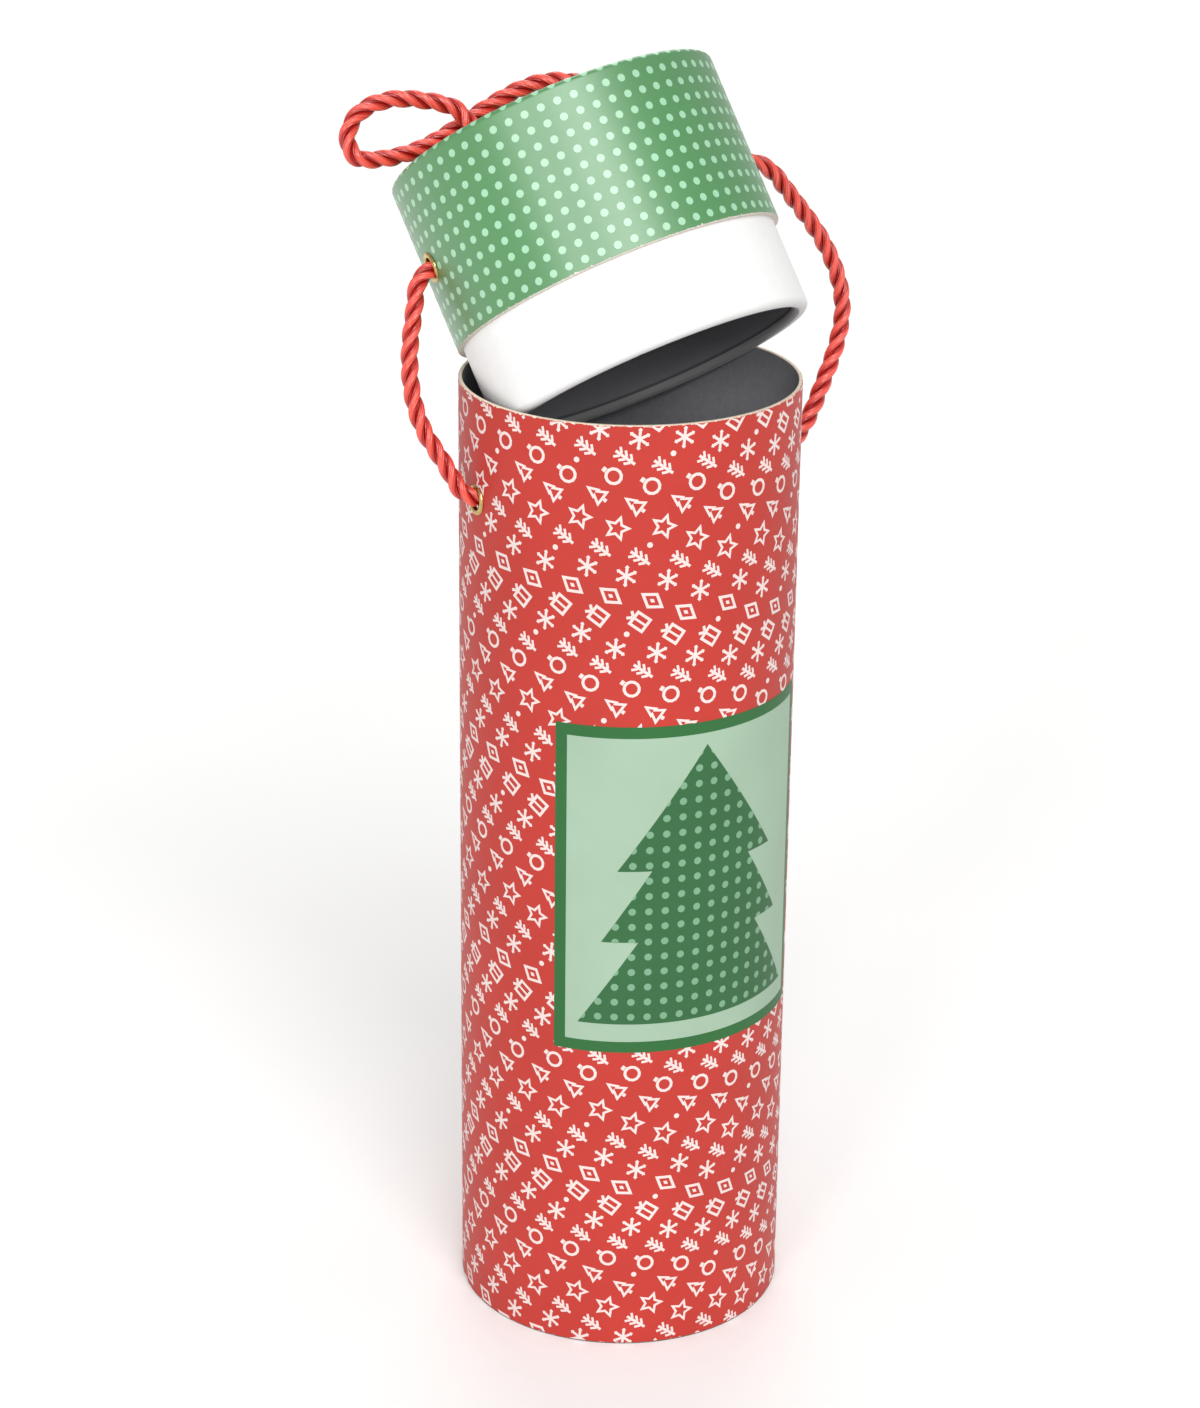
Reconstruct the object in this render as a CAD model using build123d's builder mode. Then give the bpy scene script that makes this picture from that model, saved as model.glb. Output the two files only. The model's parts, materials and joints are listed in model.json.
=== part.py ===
"""A cylindrical gift tube box with a lift-off lid that hangs on a twisted cord handle.

The tube stands on the origin, +Z is up and +X is to the right of someone who faces the
printed panel, with +Y away from them. The lid is off: it leans in the tube's mouth, tilted
back and to the left, held by the cord that runs through the tube, the lid's sides and the
lid's top. All lengths are in millimetres and all angles in degrees.
"""

from build123d import *
import os
from math import cos, pi, radians, sin, sqrt, tan

os.makedirs("parts", exist_ok=True)

# Tube
tube_diameter = 95.0
tube_height = 280.0
tube_board = 0.8
wrap_paper = 0.15
lining_paper = 0.15
mouth_bare_edge = 0.2
foot_bare_edge = 0.4
base_board = 1.6

# Lid and neck
lid_height = 48.7
lid_edge_round = 1.5
lid_wrap_turn_in = 9.0
lid_bare_edge = 0.3
lid_top_board = 2.0
top_paper_margin = 1.2
neck_clearance = 0.5
neck_depth = 25.7
neck_board = 4.0
neck_paper = 0.15
neck_cover_past_lip = 25.0

# How the open lid leans in the mouth
lid_tilt = 33.6
lid_tilt_azimuth = 135.9
lid_turn = 65.5
lean_clearance = 0.4

# Eyelets, for a cord that is squeezed a little as it goes through
cord_diameter = 5.0
eyelet_cord_clearance = 0.3
eyelet_metal = 0.35
eyelet_hole_clearance = 0.05
eyelet_flange_diameter = 8.6
eyelet_flange_height = 0.6
eyelet_roll_diameter = 7.8
eyelet_roll_height = 0.6
washer_diameter = 9.2
washer_thickness = 0.4
washer_bore_clearance = 0.1
tube_eyelet_below_mouth = 29.3
tube_eyelet_azimuth = 28.5
lid_eyelet_height = 22.4
top_eyelet_spacing = 42.0

# Cord
knot_diameter = 12.5
knot_length = 9.5
knot_tail_length = 11.0
knot_tail_lean = 35.0
arc_share = 0.45

# One overrun serves every cut
overrun = 2.0

tube_radius = tube_diameter / 2
cord_radius = cord_diameter / 2
tube_board_outer = tube_radius - wrap_paper
tube_board_inner = tube_board_outer - tube_board
tube_inner = tube_board_inner - lining_paper
base_top = wrap_paper + base_board

neck_radius = tube_inner - neck_clearance
lip_radius = neck_board / 2 + neck_paper
neck_inner = neck_radius - 2 * lip_radius
lid_board_top = lid_height - wrap_paper
lid_ceiling = lid_board_top - lid_top_board
lid_top = lid_height + wrap_paper
lid_board_outer = tube_radius - wrap_paper

eyelet_bore = cord_radius + eyelet_cord_clearance
eyelet_barrel = eyelet_bore + eyelet_metal
eyelet_hole = eyelet_barrel + eyelet_hole_clearance


def leaning_lid_place():
    """Centre of the lid's lower rim, as its distance along the tilt and its height over the mouth.

    The neck's lower ring crosses the mouth's plane at two points that rest against the mouth's
    inner edge, and the lid's side leans on the same edge between them. These two contacts give
    one quadratic in how far along the ring the crossing lies.
    """
    reach = tube_inner - lean_clearance
    cosine = cos(radians(lid_tilt))
    tangent = tan(radians(lid_tilt))
    side = reach - tube_radius / cosine
    spare = side**2 + neck_radius**2 - reach**2
    crossing = (-side / cosine - sqrt((side / cosine) ** 2 - tangent**2 * spare)) / tangent**2
    ring_height = crossing * sin(radians(lid_tilt))
    along = side + ring_height * tangent + neck_depth * sin(radians(lid_tilt))
    return along, ring_height + neck_depth * cosine


lid_along, lid_over_mouth = leaning_lid_place()
tilt_direction = Vector(cos(radians(lid_tilt_azimuth)), sin(radians(lid_tilt_azimuth)), 0)
level_direction = Vector(0, 0, 1).cross(tilt_direction)
lid_up = Vector(0, 0, 1).rotate(Axis((0, 0, 0), level_direction), lid_tilt)
downhill = level_direction.cross(lid_up)
lid_centre = tilt_direction * lid_along + Vector(0, 0, tube_height + lid_over_mouth)

# The lid's own frame: its x axis points at the left eyelet and its z axis up the lid
left_eyelet_direction = downhill.rotate(Axis((0, 0, 0), lid_up), lid_turn)
lid_plane = Plane(origin=lid_centre, x_dir=left_eyelet_direction, z_dir=lid_up)
lid_section = Plane(origin=lid_centre, x_dir=lid_plane.x_dir, z_dir=-lid_plane.y_dir)
lid_axis = Axis(lid_centre, lid_up)

left_azimuth = tube_eyelet_azimuth - 180
tube_eyelet_height = tube_height - tube_eyelet_below_mouth


def tube_eyelet_plane(azimuth):
    """A plane on the tube's surface at an eyelet, facing outwards."""
    outward = Vector(cos(radians(azimuth)), sin(radians(azimuth)), 0)
    centre = outward * tube_radius + Vector(0, 0, tube_eyelet_height)
    return Plane(origin=centre, x_dir=(0, 0, 1), z_dir=outward)


def lid_eyelet_plane(side):
    """A plane on the lid's side at an eyelet, facing outwards; side is 1 at the left, -1 at the right."""
    centre = lid_plane.from_local_coords(Vector(side * tube_radius, 0, lid_eyelet_height))
    return Plane(origin=centre, x_dir=lid_plane.z_dir, z_dir=lid_plane.x_dir * side)


def top_eyelet_plane(side):
    """A plane on the lid's top at a handle eyelet, facing up the lid."""
    centre = lid_plane.from_local_coords(Vector(side * top_eyelet_spacing / 2, 0, lid_top))
    return Plane(origin=centre, x_dir=lid_plane.x_dir, z_dir=lid_plane.z_dir)


tube_eyelet_planes = {"left": tube_eyelet_plane(left_azimuth), "right": tube_eyelet_plane(tube_eyelet_azimuth)}
lid_eyelet_planes = {"left": lid_eyelet_plane(1), "right": lid_eyelet_plane(-1)}
top_eyelet_planes = {"left": top_eyelet_plane(1), "right": top_eyelet_plane(-1)}


def hollow_grip(outer, inner):
    """Depth from a curved wall's outside to where a flat washer meets its hollow inside."""
    return outer - sqrt(inner**2 - (washer_diameter / 2) ** 2)


tube_grip = hollow_grip(tube_radius, tube_inner)
lid_grip = hollow_grip(tube_radius, neck_inner)
top_grip = lid_top - lid_ceiling + lining_paper


def hole_punch(planes, depth):
    """Rods that punch the eyelets' holes through a wall, each square to its plane."""
    with BuildPart() as rods:
        for plane in planes.values():
            with BuildSketch(plane.offset(overrun)):
                Circle(eyelet_hole)
        extrude(amount=-(depth + 2 * overrun))
    return rods.part


tube_punch = hole_punch(tube_eyelet_planes, tube_grip)
lid_punch = hole_punch(lid_eyelet_planes, lid_grip)
top_punch = hole_punch(top_eyelet_planes, top_grip)


def finish(part, name):
    """Label a finished sub-part and write it to its own file."""
    part.label = name
    export_step(part, f"parts/{name}.step")
    return part


# Tube wall, a rolled board tube
with BuildPart() as tube_wall:
    with BuildSketch():
        Circle(tube_board_outer)
        Circle(tube_board_inner, mode=Mode.SUBTRACT)
    extrude(amount=tube_height)
    add(tube_punch, mode=Mode.SUBTRACT)
finish(tube_wall.part, "tube_wall")

# Printed wrap, which leaves the board's edge bare at the mouth and at the foot
with BuildPart() as tube_wrap:
    with BuildSketch(Plane.XY.offset(foot_bare_edge)):
        Circle(tube_radius)
        Circle(tube_board_outer, mode=Mode.SUBTRACT)
    extrude(amount=tube_height - mouth_bare_edge - foot_bare_edge)
    add(tube_punch, mode=Mode.SUBTRACT)
finish(tube_wrap.part, "tube_wrap")

# Dark lining paper inside the tube, standing on the base board
with BuildPart() as tube_lining:
    with BuildSketch(Plane.XY.offset(base_top)):
        Circle(tube_board_inner)
        Circle(tube_inner, mode=Mode.SUBTRACT)
    extrude(amount=tube_height - mouth_bare_edge - base_top)
    add(tube_punch, mode=Mode.SUBTRACT)
finish(tube_lining.part, "tube_lining")

# Base board, flush inside the foot, with a paper disc on each side
with BuildPart() as base_board_disc:
    with BuildSketch(Plane.XY.offset(wrap_paper)):
        Circle(tube_board_inner)
    extrude(amount=base_board)
finish(base_board_disc.part, "base_board")

with BuildPart() as base_lining:
    with BuildSketch(Plane.XY.offset(base_top)):
        Circle(tube_inner)
    extrude(amount=lining_paper)
finish(base_lining.part, "base_lining")

with BuildPart() as base_foot_paper:
    with BuildSketch():
        Circle(tube_board_inner)
    extrude(amount=wrap_paper)
finish(base_foot_paper.part, "base_foot_paper")

# Lid wall, a board tube whose upper outside edge is rounded
with BuildPart() as lid_wall:
    with BuildSketch(lid_section):
        with BuildLine():
            round_centre = (tube_radius - lid_edge_round, lid_height - lid_edge_round)
            Line((neck_radius, 0), (lid_board_outer, 0))
            Line((lid_board_outer, 0), (lid_board_outer, round_centre[1]))
            CenterArc(round_centre, lid_edge_round - wrap_paper, 0, 90)
            Line((round_centre[0], lid_board_top), (neck_radius, lid_board_top))
            Line((neck_radius, lid_board_top), (neck_radius, 0))
        make_face()
    revolve(axis=lid_axis)
    add(lid_punch, mode=Mode.SUBTRACT)
finish(lid_wall.part, "lid_wall")

# Lid wrap, carried over the rounded edge and turned in on the top
with BuildPart() as lid_wrap:
    with BuildSketch(lid_section):
        with BuildLine():
            turned_in = tube_radius - lid_wrap_turn_in
            Line((lid_board_outer, lid_bare_edge), (tube_radius, lid_bare_edge))
            Line((tube_radius, lid_bare_edge), (tube_radius, round_centre[1]))
            CenterArc(round_centre, lid_edge_round, 0, 90)
            Line((round_centre[0], lid_height), (turned_in, lid_height))
            Line((turned_in, lid_height), (turned_in, lid_board_top))
            Line((turned_in, lid_board_top), (round_centre[0], lid_board_top))
            CenterArc(round_centre, lid_edge_round - wrap_paper, 90, -90)
            Line((lid_board_outer, round_centre[1]), (lid_board_outer, lid_bare_edge))
        make_face()
    revolve(axis=lid_axis)
    add(lid_punch, mode=Mode.SUBTRACT)
finish(lid_wrap.part, "lid_wrap")

# Top board inside the lid's wall, the printed disc that covers it, and the dark paper under it
with BuildPart() as lid_top_disc:
    with BuildSketch(lid_plane.offset(lid_ceiling)):
        Circle(neck_radius)
    extrude(amount=lid_top_board)
    add(top_punch, mode=Mode.SUBTRACT)
finish(lid_top_disc.part, "lid_top_board")

with BuildPart() as lid_top_paper:
    with BuildSketch(lid_plane.offset(lid_height)):
        Circle(tube_radius - lid_edge_round - top_paper_margin)
    extrude(amount=wrap_paper)
    add(top_punch, mode=Mode.SUBTRACT)
finish(lid_top_paper.part, "lid_top_paper")

with BuildPart() as lid_ceiling_paper:
    with BuildSketch(lid_plane.offset(lid_ceiling - lining_paper)):
        Circle(neck_inner)
    extrude(amount=lining_paper)
    add(top_punch, mode=Mode.SUBTRACT)
finish(lid_ceiling_paper.part, "lid_ceiling_paper")

# Neck sleeve, a board tube glued inside the lid, with a round lower lip
lip_centre = (neck_radius - lip_radius, lip_radius - neck_depth)
lip_board_radius = lip_radius - neck_paper
neck_board_outer = neck_radius - neck_paper
neck_board_inner = neck_inner + neck_paper
with BuildPart() as neck_sleeve:
    with BuildSketch(lid_section):
        with BuildLine():
            Line((neck_board_inner, lid_ceiling), (neck_board_outer, lid_ceiling))
            Line((neck_board_outer, lid_ceiling), (neck_board_outer, lip_centre[1]))
            CenterArc(lip_centre, lip_board_radius, 0, -180)
            Line((neck_board_inner, lip_centre[1]), (neck_board_inner, lid_ceiling))
        make_face()
    revolve(axis=lid_axis)
    add(lid_punch, mode=Mode.SUBTRACT)
finish(neck_sleeve.part, "neck_sleeve")


def on_lip(radius, angle):
    """A point of the lip's section, at a radius and an angle about the lip's centre."""
    return (lip_centre[0] + radius * cos(radians(angle)), lip_centre[1] + radius * sin(radians(angle)))


# The white paper goes round the lip a little past its lowest point
cover_end = -90 - neck_cover_past_lip

# White paper over the sleeve
with BuildPart() as neck_cover:
    with BuildSketch(lid_section):
        with BuildLine():
            Line((neck_board_outer, lid_ceiling), (neck_radius, lid_ceiling))
            Line((neck_radius, lid_ceiling), (neck_radius, lip_centre[1]))
            CenterArc(lip_centre, lip_radius, 0, cover_end)
            Line(on_lip(lip_radius, cover_end), on_lip(lip_board_radius, cover_end))
            CenterArc(lip_centre, lip_board_radius, cover_end, -cover_end)
            Line((neck_board_outer, lip_centre[1]), (neck_board_outer, lid_ceiling))
        make_face()
    revolve(axis=lid_axis)
    add(lid_punch, mode=Mode.SUBTRACT)
finish(neck_cover.part, "neck_cover")

# Dark lining inside the sleeve, which meets the white paper on the lip
with BuildPart() as neck_lining:
    with BuildSketch(lid_section):
        with BuildLine():
            Line((neck_board_inner, lid_ceiling), (neck_inner, lid_ceiling))
            Line((neck_inner, lid_ceiling), (neck_inner, lip_centre[1]))
            CenterArc(lip_centre, lip_radius, 180, 180 + cover_end)
            Line(on_lip(lip_radius, cover_end), on_lip(lip_board_radius, cover_end))
            CenterArc(lip_centre, lip_board_radius, cover_end, -(180 + cover_end))
            Line((neck_board_inner, lip_centre[1]), (neck_board_inner, lid_ceiling))
        make_face()
    revolve(axis=lid_axis)
    add(lid_punch, mode=Mode.SUBTRACT)
finish(neck_lining.part, "neck_lining")


def make_eyelet(plane, grip, name):
    """A brass eyelet: a domed flange outside, a barrel through the wall and a roll inside."""
    section = Plane(origin=plane.origin, x_dir=plane.x_dir, z_dir=plane.x_dir.cross(plane.z_dir))
    flange = eyelet_flange_diameter / 2
    roll = eyelet_roll_diameter / 2
    seat = -(grip + washer_thickness)
    flange_crown = ((eyelet_bore + flange) / 2, eyelet_flange_height)
    roll_crown = ((eyelet_bore + roll) / 2, seat - eyelet_roll_height)
    with BuildPart() as eyelet:
        with BuildSketch(section):
            with BuildLine():
                Line((eyelet_bore, seat - eyelet_roll_height / 2), (eyelet_bore, eyelet_flange_height / 2))
                ThreePointArc((eyelet_bore, eyelet_flange_height / 2), flange_crown, (flange, 0))
                Line((flange, 0), (eyelet_barrel, 0))
                Line((eyelet_barrel, 0), (eyelet_barrel, seat))
                Line((eyelet_barrel, seat), (roll, seat))
                ThreePointArc((roll, seat), roll_crown, (eyelet_bore, seat - eyelet_roll_height / 2))
            make_face()
        revolve(axis=Axis(plane.origin, plane.z_dir))
    return finish(eyelet.part, name)


def make_washer(plane, grip, name):
    """A flat brass washer between the wall's inside and the eyelet's roll."""
    with BuildPart() as washer:
        with BuildSketch(plane.offset(-grip)):
            Circle(washer_diameter / 2)
            Circle(eyelet_barrel + washer_bore_clearance, mode=Mode.SUBTRACT)
        extrude(amount=-washer_thickness)
    return finish(washer.part, name)


for side in ("left", "right"):
    make_eyelet(tube_eyelet_planes[side], tube_grip, f"tube_eyelet_{side}")
    make_washer(tube_eyelet_planes[side], tube_grip, f"tube_washer_{side}")
    make_eyelet(lid_eyelet_planes[side], lid_grip, f"lid_eyelet_{side}")
    make_washer(lid_eyelet_planes[side], lid_grip, f"lid_washer_{side}")
    make_eyelet(top_eyelet_planes[side], top_grip, f"top_eyelet_{side}")
    make_washer(top_eyelet_planes[side], top_grip, f"top_washer_{side}")

# Routes of the cord's outer runs, from behind a tube eyelet to inside the lid's eyelet
left_run_route = [
    (-37.8, -20.5, 250.7),
    (-44.5, -24.1, 250.7),
    (-49.8, -22.6, 260.4),
    (-56.6, -21.5, 270.4),
    (-59.6, -18.8, 281.0),
    (-60.0, -15.6, 291.5),
    (-58.8, -12.2, 301.8),
    (-58.1, -9.4, 310.7),
    (-48.8, -5.0, 313.1),
]
right_run_route = [
    (37.8, 20.5, 250.7),
    (44.5, 24.1, 250.7),
    (50.8, 30.2, 258.0),
    (54.8, 36.0, 267.0),
    (59.0, 41.1, 277.5),
    (60.9, 44.4, 288.0),
    (58.4, 45.2, 299.0),
    (53.1, 43.6, 309.5),
    (46.0, 40.2, 319.4),
    (34.7, 34.1, 334.9),
    (24.0, 29.1, 332.1),
]

# Route of the handle in the lid's frame, with heights above the lid's top paper, from right to left
handle_route = [
    (-21.0, 0.0, 3.8),
    (-20.0, -1.2, 12.0),
    (-10.5, -3.5, 13.2),
    (0.5, -5.8, 14.8),
    (12.0, -7.0, 12.8),
    (24.0, -7.0, 9.2),
    (36.0, -5.5, 6.4),
    (46.5, -4.2, 6.6),
    (55.5, -3.2, 8.8),
    (57.0, -2.2, 17.5),
    (49.5, -1.0, 22.8),
    (39.0, -0.3, 21.2),
    (28.5, 0.2, 16.4),
    (22.5, 0.0, 12.0),
    (21.0, 0.0, 3.8),
]

# Route inside the lid in its own frame, from behind the side eyelet up to the top eyelet
inner_route = [
    (41.2, 0.0, 22.4),
    (29.0, 0.0, 22.4),
    (21.0, 0.0, 35.5),
    (21.0, 0.0, 49.9),
]


def cord_radii(points):
    """Radius of the arc at each inner point, as large as the two runs beside it allow."""
    found = []
    for before, here, after in zip(points, points[1:], points[2:]):
        arriving = here - before
        leaving = after - here
        shorter = min(arriving.length, leaving.length)
        found.append(arc_share * shorter / tan(radians(arriving.get_angle(leaving) / 2)))
    return found


def make_cord(points, name, round_ends=False):
    """One stretch of the cord: straight runs joined by tangent arcs, with the cord's round section."""
    found = cord_radii(points)
    with BuildPart() as stretch:
        with BuildLine() as route:
            FilletPolyline(*points, radius=found)
        start = route.wire() @ 0
        with BuildSketch(Plane(origin=start, z_dir=route.wire() % 0)):
            Circle(cord_radius)
        sweep()
        length = route.wire().length
        swept = stretch.part.volume / (pi * cord_radius**2 * length)
        if round_ends:
            for end in (points[0], points[-1]):
                with Locations(end):
                    Sphere(cord_radius)
    print(name, "length", round(length, 1), "volume share", round(swept, 4))
    print("  radii", [round(radius, 1) for radius in found])
    return finish(stretch.part, name)


def in_lid(points, height):
    """Points given in the lid's frame, raised by a height, as points in the tube's frame."""
    return [lid_plane.from_local_coords(Vector(x, y, z + height)) for x, y, z in points]


def mirrored(points):
    """The same points on the other side of the lid."""
    return [(-x, y, z) for x, y, z in points]


make_cord([Vector(*point) for point in left_run_route], "cord_left_run")
make_cord([Vector(*point) for point in right_run_route], "cord_right_run")
make_cord(in_lid(handle_route, lid_top), "cord_handle", round_ends=True)
make_cord(in_lid(inner_route, 0), "cord_inner_left")
make_cord(in_lid(mirrored(inner_route), 0), "cord_inner_right")


def make_knot(route, plane, name):
    """A pulled knot behind a tube eyelet, flat where it meets the run, with a hanging tail."""
    front = Vector(*route[0])
    section = Plane(origin=front, x_dir=plane.x_dir, z_dir=plane.x_dir.cross(plane.z_dir))
    tail_root = front - plane.z_dir * (knot_length / 2)
    tail_direction = -plane.z_dir * sin(radians(knot_tail_lean)) - Vector(0, 0, cos(radians(knot_tail_lean)))
    with BuildPart() as knot:
        with BuildSketch(section):
            with BuildLine():
                Line((0, -knot_length), (0, 0))
                Line((0, 0), (cord_radius, 0))
                ThreePointArc((cord_radius, 0), (knot_diameter / 2, -knot_length / 2), (0, -knot_length))
            make_face()
        revolve(axis=Axis(front, plane.z_dir))
        with BuildSketch(Plane(origin=tail_root, z_dir=tail_direction)):
            Circle(cord_radius)
        extrude(amount=knot_tail_length)
    return finish(knot.part, name)


make_knot(left_run_route, tube_eyelet_planes["left"], "cord_knot_left")
make_knot(right_run_route, tube_eyelet_planes["right"], "cord_knot_right")
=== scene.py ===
"""Looks of a cylindrical gift tube box whose lid leans in its mouth on a twisted cord.

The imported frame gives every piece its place: this script dresses it with printed papers, bare
board, brass and a three-strand satin cord, and adds the print as thin sheets of ink. Places are
in metres in the frame's own axes, and the named sizes below are in millimetres unless they say
otherwise. The tube's print is laid out on its unrolled wrap: arc runs round the tube from the
front, positive to the right, and height runs up from the foot.
"""

import json
from math import cos, pi, radians, sin

import bpy
import numpy as np
from mathutils import Matrix, Vector


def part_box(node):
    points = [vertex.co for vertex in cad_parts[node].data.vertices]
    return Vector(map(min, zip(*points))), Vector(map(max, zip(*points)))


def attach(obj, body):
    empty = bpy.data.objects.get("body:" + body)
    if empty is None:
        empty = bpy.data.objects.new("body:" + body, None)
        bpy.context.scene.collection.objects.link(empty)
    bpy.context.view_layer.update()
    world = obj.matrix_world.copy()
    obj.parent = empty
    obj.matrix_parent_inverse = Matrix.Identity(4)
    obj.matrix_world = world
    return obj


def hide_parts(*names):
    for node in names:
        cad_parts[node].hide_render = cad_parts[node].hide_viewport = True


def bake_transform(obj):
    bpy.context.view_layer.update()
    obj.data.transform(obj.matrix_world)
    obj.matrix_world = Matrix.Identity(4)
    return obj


bl_info = {
    "name": "Gift Tube Box",
    "version": (1, 0, 0),
    "blender": (4, 5, 0),
    "location": "3D View > Sidebar > Gift Tube",
    "description": "Dresses a leaning-lid gift tube with print, papers, brass and a twisted cord",
    "category": "Add Mesh",
}

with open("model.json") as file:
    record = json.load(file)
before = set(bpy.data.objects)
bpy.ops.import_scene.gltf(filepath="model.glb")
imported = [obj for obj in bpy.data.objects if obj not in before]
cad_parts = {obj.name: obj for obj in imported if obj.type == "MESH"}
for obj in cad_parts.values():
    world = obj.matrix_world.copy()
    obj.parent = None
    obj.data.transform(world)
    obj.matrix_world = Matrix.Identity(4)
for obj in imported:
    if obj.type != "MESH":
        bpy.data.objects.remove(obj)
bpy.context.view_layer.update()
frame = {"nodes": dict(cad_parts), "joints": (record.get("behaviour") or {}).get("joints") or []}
MM = 0.001

# Places taken from the frame
joints = {joint["name"]: joint for joint in frame["joints"]}
lid_pivot = Vector(joints["lid_tilt"]["pos_m"])
handle_pivot = Vector(joints["handle_swing"]["pos_m"])
lid_x = Vector(joints["lid_tilt"]["axis"]).normalized()
lid_z = (handle_pivot - lid_pivot).normalized()
lid_y = lid_z.cross(lid_x)
tube_low, tube_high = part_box("tube_wrap")
TUBE_RADIUS = (tube_high.x - tube_low.x) / 2 / MM
TUBE_GIRTH = 2 * pi * TUBE_RADIUS
WRAP_BOTTOM = tube_low.z / MM
WRAP_TOP = tube_high.z / MM

# Lid sizes that the frame's boxes can't give, because the lid leans
LID_EYELET_HEIGHT = 22.4
PIVOT_OVER_TOP = 3.8
LID_FLANGE_RADIUS = 4.3
TOP_FLANGE_RADIUS = 4.2
TOP_EYELET_OFFSET = 21.0
LID_EDGE_ROUND = 1.5
TOP_PAPER = 0.15
TOP_PAPER_INSET = 1.2
LID_TOP = (handle_pivot - lid_pivot).length / MM + LID_EYELET_HEIGHT - PIVOT_OVER_TOP
LID_HEIGHT = LID_TOP - TOP_PAPER
lid_foot = lid_pivot - lid_z * LID_EYELET_HEIGHT * MM
LID_MATRIX = np.array([lid_x, lid_y, lid_z]).T

# Routes of the cord in metres: the solid model's points, with the handle's moved slightly
LEFT_RUN = [
    (-0.0378, -0.0205, 0.2507),
    (-0.0445, -0.0241, 0.2507),
    (-0.0498, -0.0226, 0.2604),
    (-0.0566, -0.0215, 0.2704),
    (-0.0596, -0.0188, 0.2810),
    (-0.0600, -0.0156, 0.2915),
    (-0.0586, -0.0122, 0.3018),
    (-0.0578, -0.0093, 0.3109),
    (-0.0488, -0.0050, 0.3131),
]
RIGHT_RUN = [
    (0.0378, 0.0205, 0.2507),
    (0.0445, 0.0241, 0.2507),
    (0.0508, 0.0302, 0.2580),
    (0.0548, 0.0360, 0.2670),
    (0.0590, 0.0411, 0.2775),
    (0.0609, 0.0444, 0.2880),
    (0.0584, 0.0452, 0.2990),
    (0.0531, 0.0436, 0.3095),
    (0.0460, 0.0402, 0.3194),
    (0.0347, 0.0341, 0.3349),
    (0.0240, 0.0291, 0.3321),
]
# The handle in the lid's frame, from right to left, with heights over the lid's top paper
HANDLE = [
    (-0.0210, 0.0, -0.0005),
    (-0.0210, -0.0002, 0.0045),
    (-0.0155, -0.0012, 0.0074),
    (-0.0090, -0.0030, 0.0116),
    (-0.0030, -0.0050, 0.0135),
    (0.0045, -0.0064, 0.0134),
    (0.0120, -0.0070, 0.0119),
    (0.0200, -0.0071, 0.0100),
    (0.0280, -0.0066, 0.0078),
    (0.0360, -0.0055, 0.0063),
    (0.0440, -0.0046, 0.0064),
    (0.0505, -0.0039, 0.0076),
    (0.0546, -0.0031, 0.0090),
    (0.0554, -0.0025, 0.0137),
    (0.0527, -0.0019, 0.0184),
    (0.0470, -0.0011, 0.0214),
    (0.0385, -0.0003, 0.0210),
    (0.0300, 0.0001, 0.0172),
    (0.0232, 0.0001, 0.0130),
    (0.0210, 0.0, 0.0065),
    (0.0210, 0.0, -0.0005),
]
# The cord inside the lid in the lid's frame, from a side eyelet up to a top eyelet
INNER = [
    (0.0412, 0.0, 0.0224),
    (0.0290, 0.0, 0.0224),
    (0.0210, 0.0, 0.0355),
    (0.0210, 0.0, 0.0499),
]

# Steps of a cord's line for each point of its route, the shortest step that counts, in metres, and
# the fewest rings of a rope
ROUTE_STEPS = 24
SHORTEST_STEP = 1e-9
FEWEST_RINGS = 8


def linear(hex_code):
    """An sRGB hex colour as linear red, green, blue and alpha."""
    channels = [int(hex_code[i : i + 2], 16) / 255 for i in (1, 3, 5)]
    return tuple(c / 12.92 if c <= 0.04045 else ((c + 0.055) / 1.055) ** 2.4 for c in channels) + (1.0,)


def add_node(tree, kind, inputs=None, **settings):
    """Adds a node with its settings, and sets its inputs or links them.

    A node given as an input stands for its first output.
    """
    made = tree.nodes.new(kind)
    for name, value in settings.items():
        setattr(made, name, value)
    for name, value in (inputs or {}).items():
        source = value.outputs[0] if isinstance(value, bpy.types.Node) else value
        if isinstance(source, bpy.types.NodeSocket):
            tree.links.new(source, made.inputs[name])
        else:
            made.inputs[name].default_value = source
    return made


def start_material(name, places="Object"):
    """An empty material, its nodes and the coordinates that its patterns follow."""
    material = bpy.data.materials.new(name)
    material.use_nodes = True
    tree = material.node_tree
    tree.nodes.clear()
    return material, tree, add_node(tree, "ShaderNodeTexCoord").outputs[places]


def finish_material(material, inputs):
    """Closes a material with its shader, whose constants stand on its own sockets, and its output."""
    shader = add_node(material.node_tree, "ShaderNodeBsdfPrincipled", inputs)
    add_node(material.node_tree, "ShaderNodeOutputMaterial", {"Surface": shader})
    return material


def tinted(colour, share):
    """A linear colour made darker or lighter by a share."""
    return tuple(min(channel * share, 1.0) for channel in tuple(colour)[:3]) + (1.0,)


# Detail and roughness of the noise behind each grain, from soft drifts to coarse pulp
SOFT_DRIFT = (3.0, 0.5)
FINE_TOOTH = (3.0, 0.6)
TORN_EDGE = (4.0, 0.6)
PAPER_FIBRES = (4.0, 0.65)
BOARD_FIBRES = (5.0, 0.7)
BOARD_PORES = (4.0, 0.7)

# The part of a noise's range from 0 to 1 that most of it lies in
NOISE_SPAN = (0.3, 0.7)


def lumps(at, size_mm, grain):
    """Inputs of a noise whose lumps are about as wide as the given size."""
    return {"Vector": at, "Scale": 1 / (size_mm * MM), "Detail": grain[0], "Roughness": grain[1]}


def set_stops(ramp, *stops):
    """Sets the place and colour of each of a ramp's stops, and gives the ramp back."""
    for stop, (place, colour) in zip(ramp.color_ramp.elements, stops):
        stop.position, stop.color = place, colour
    return ramp


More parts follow.
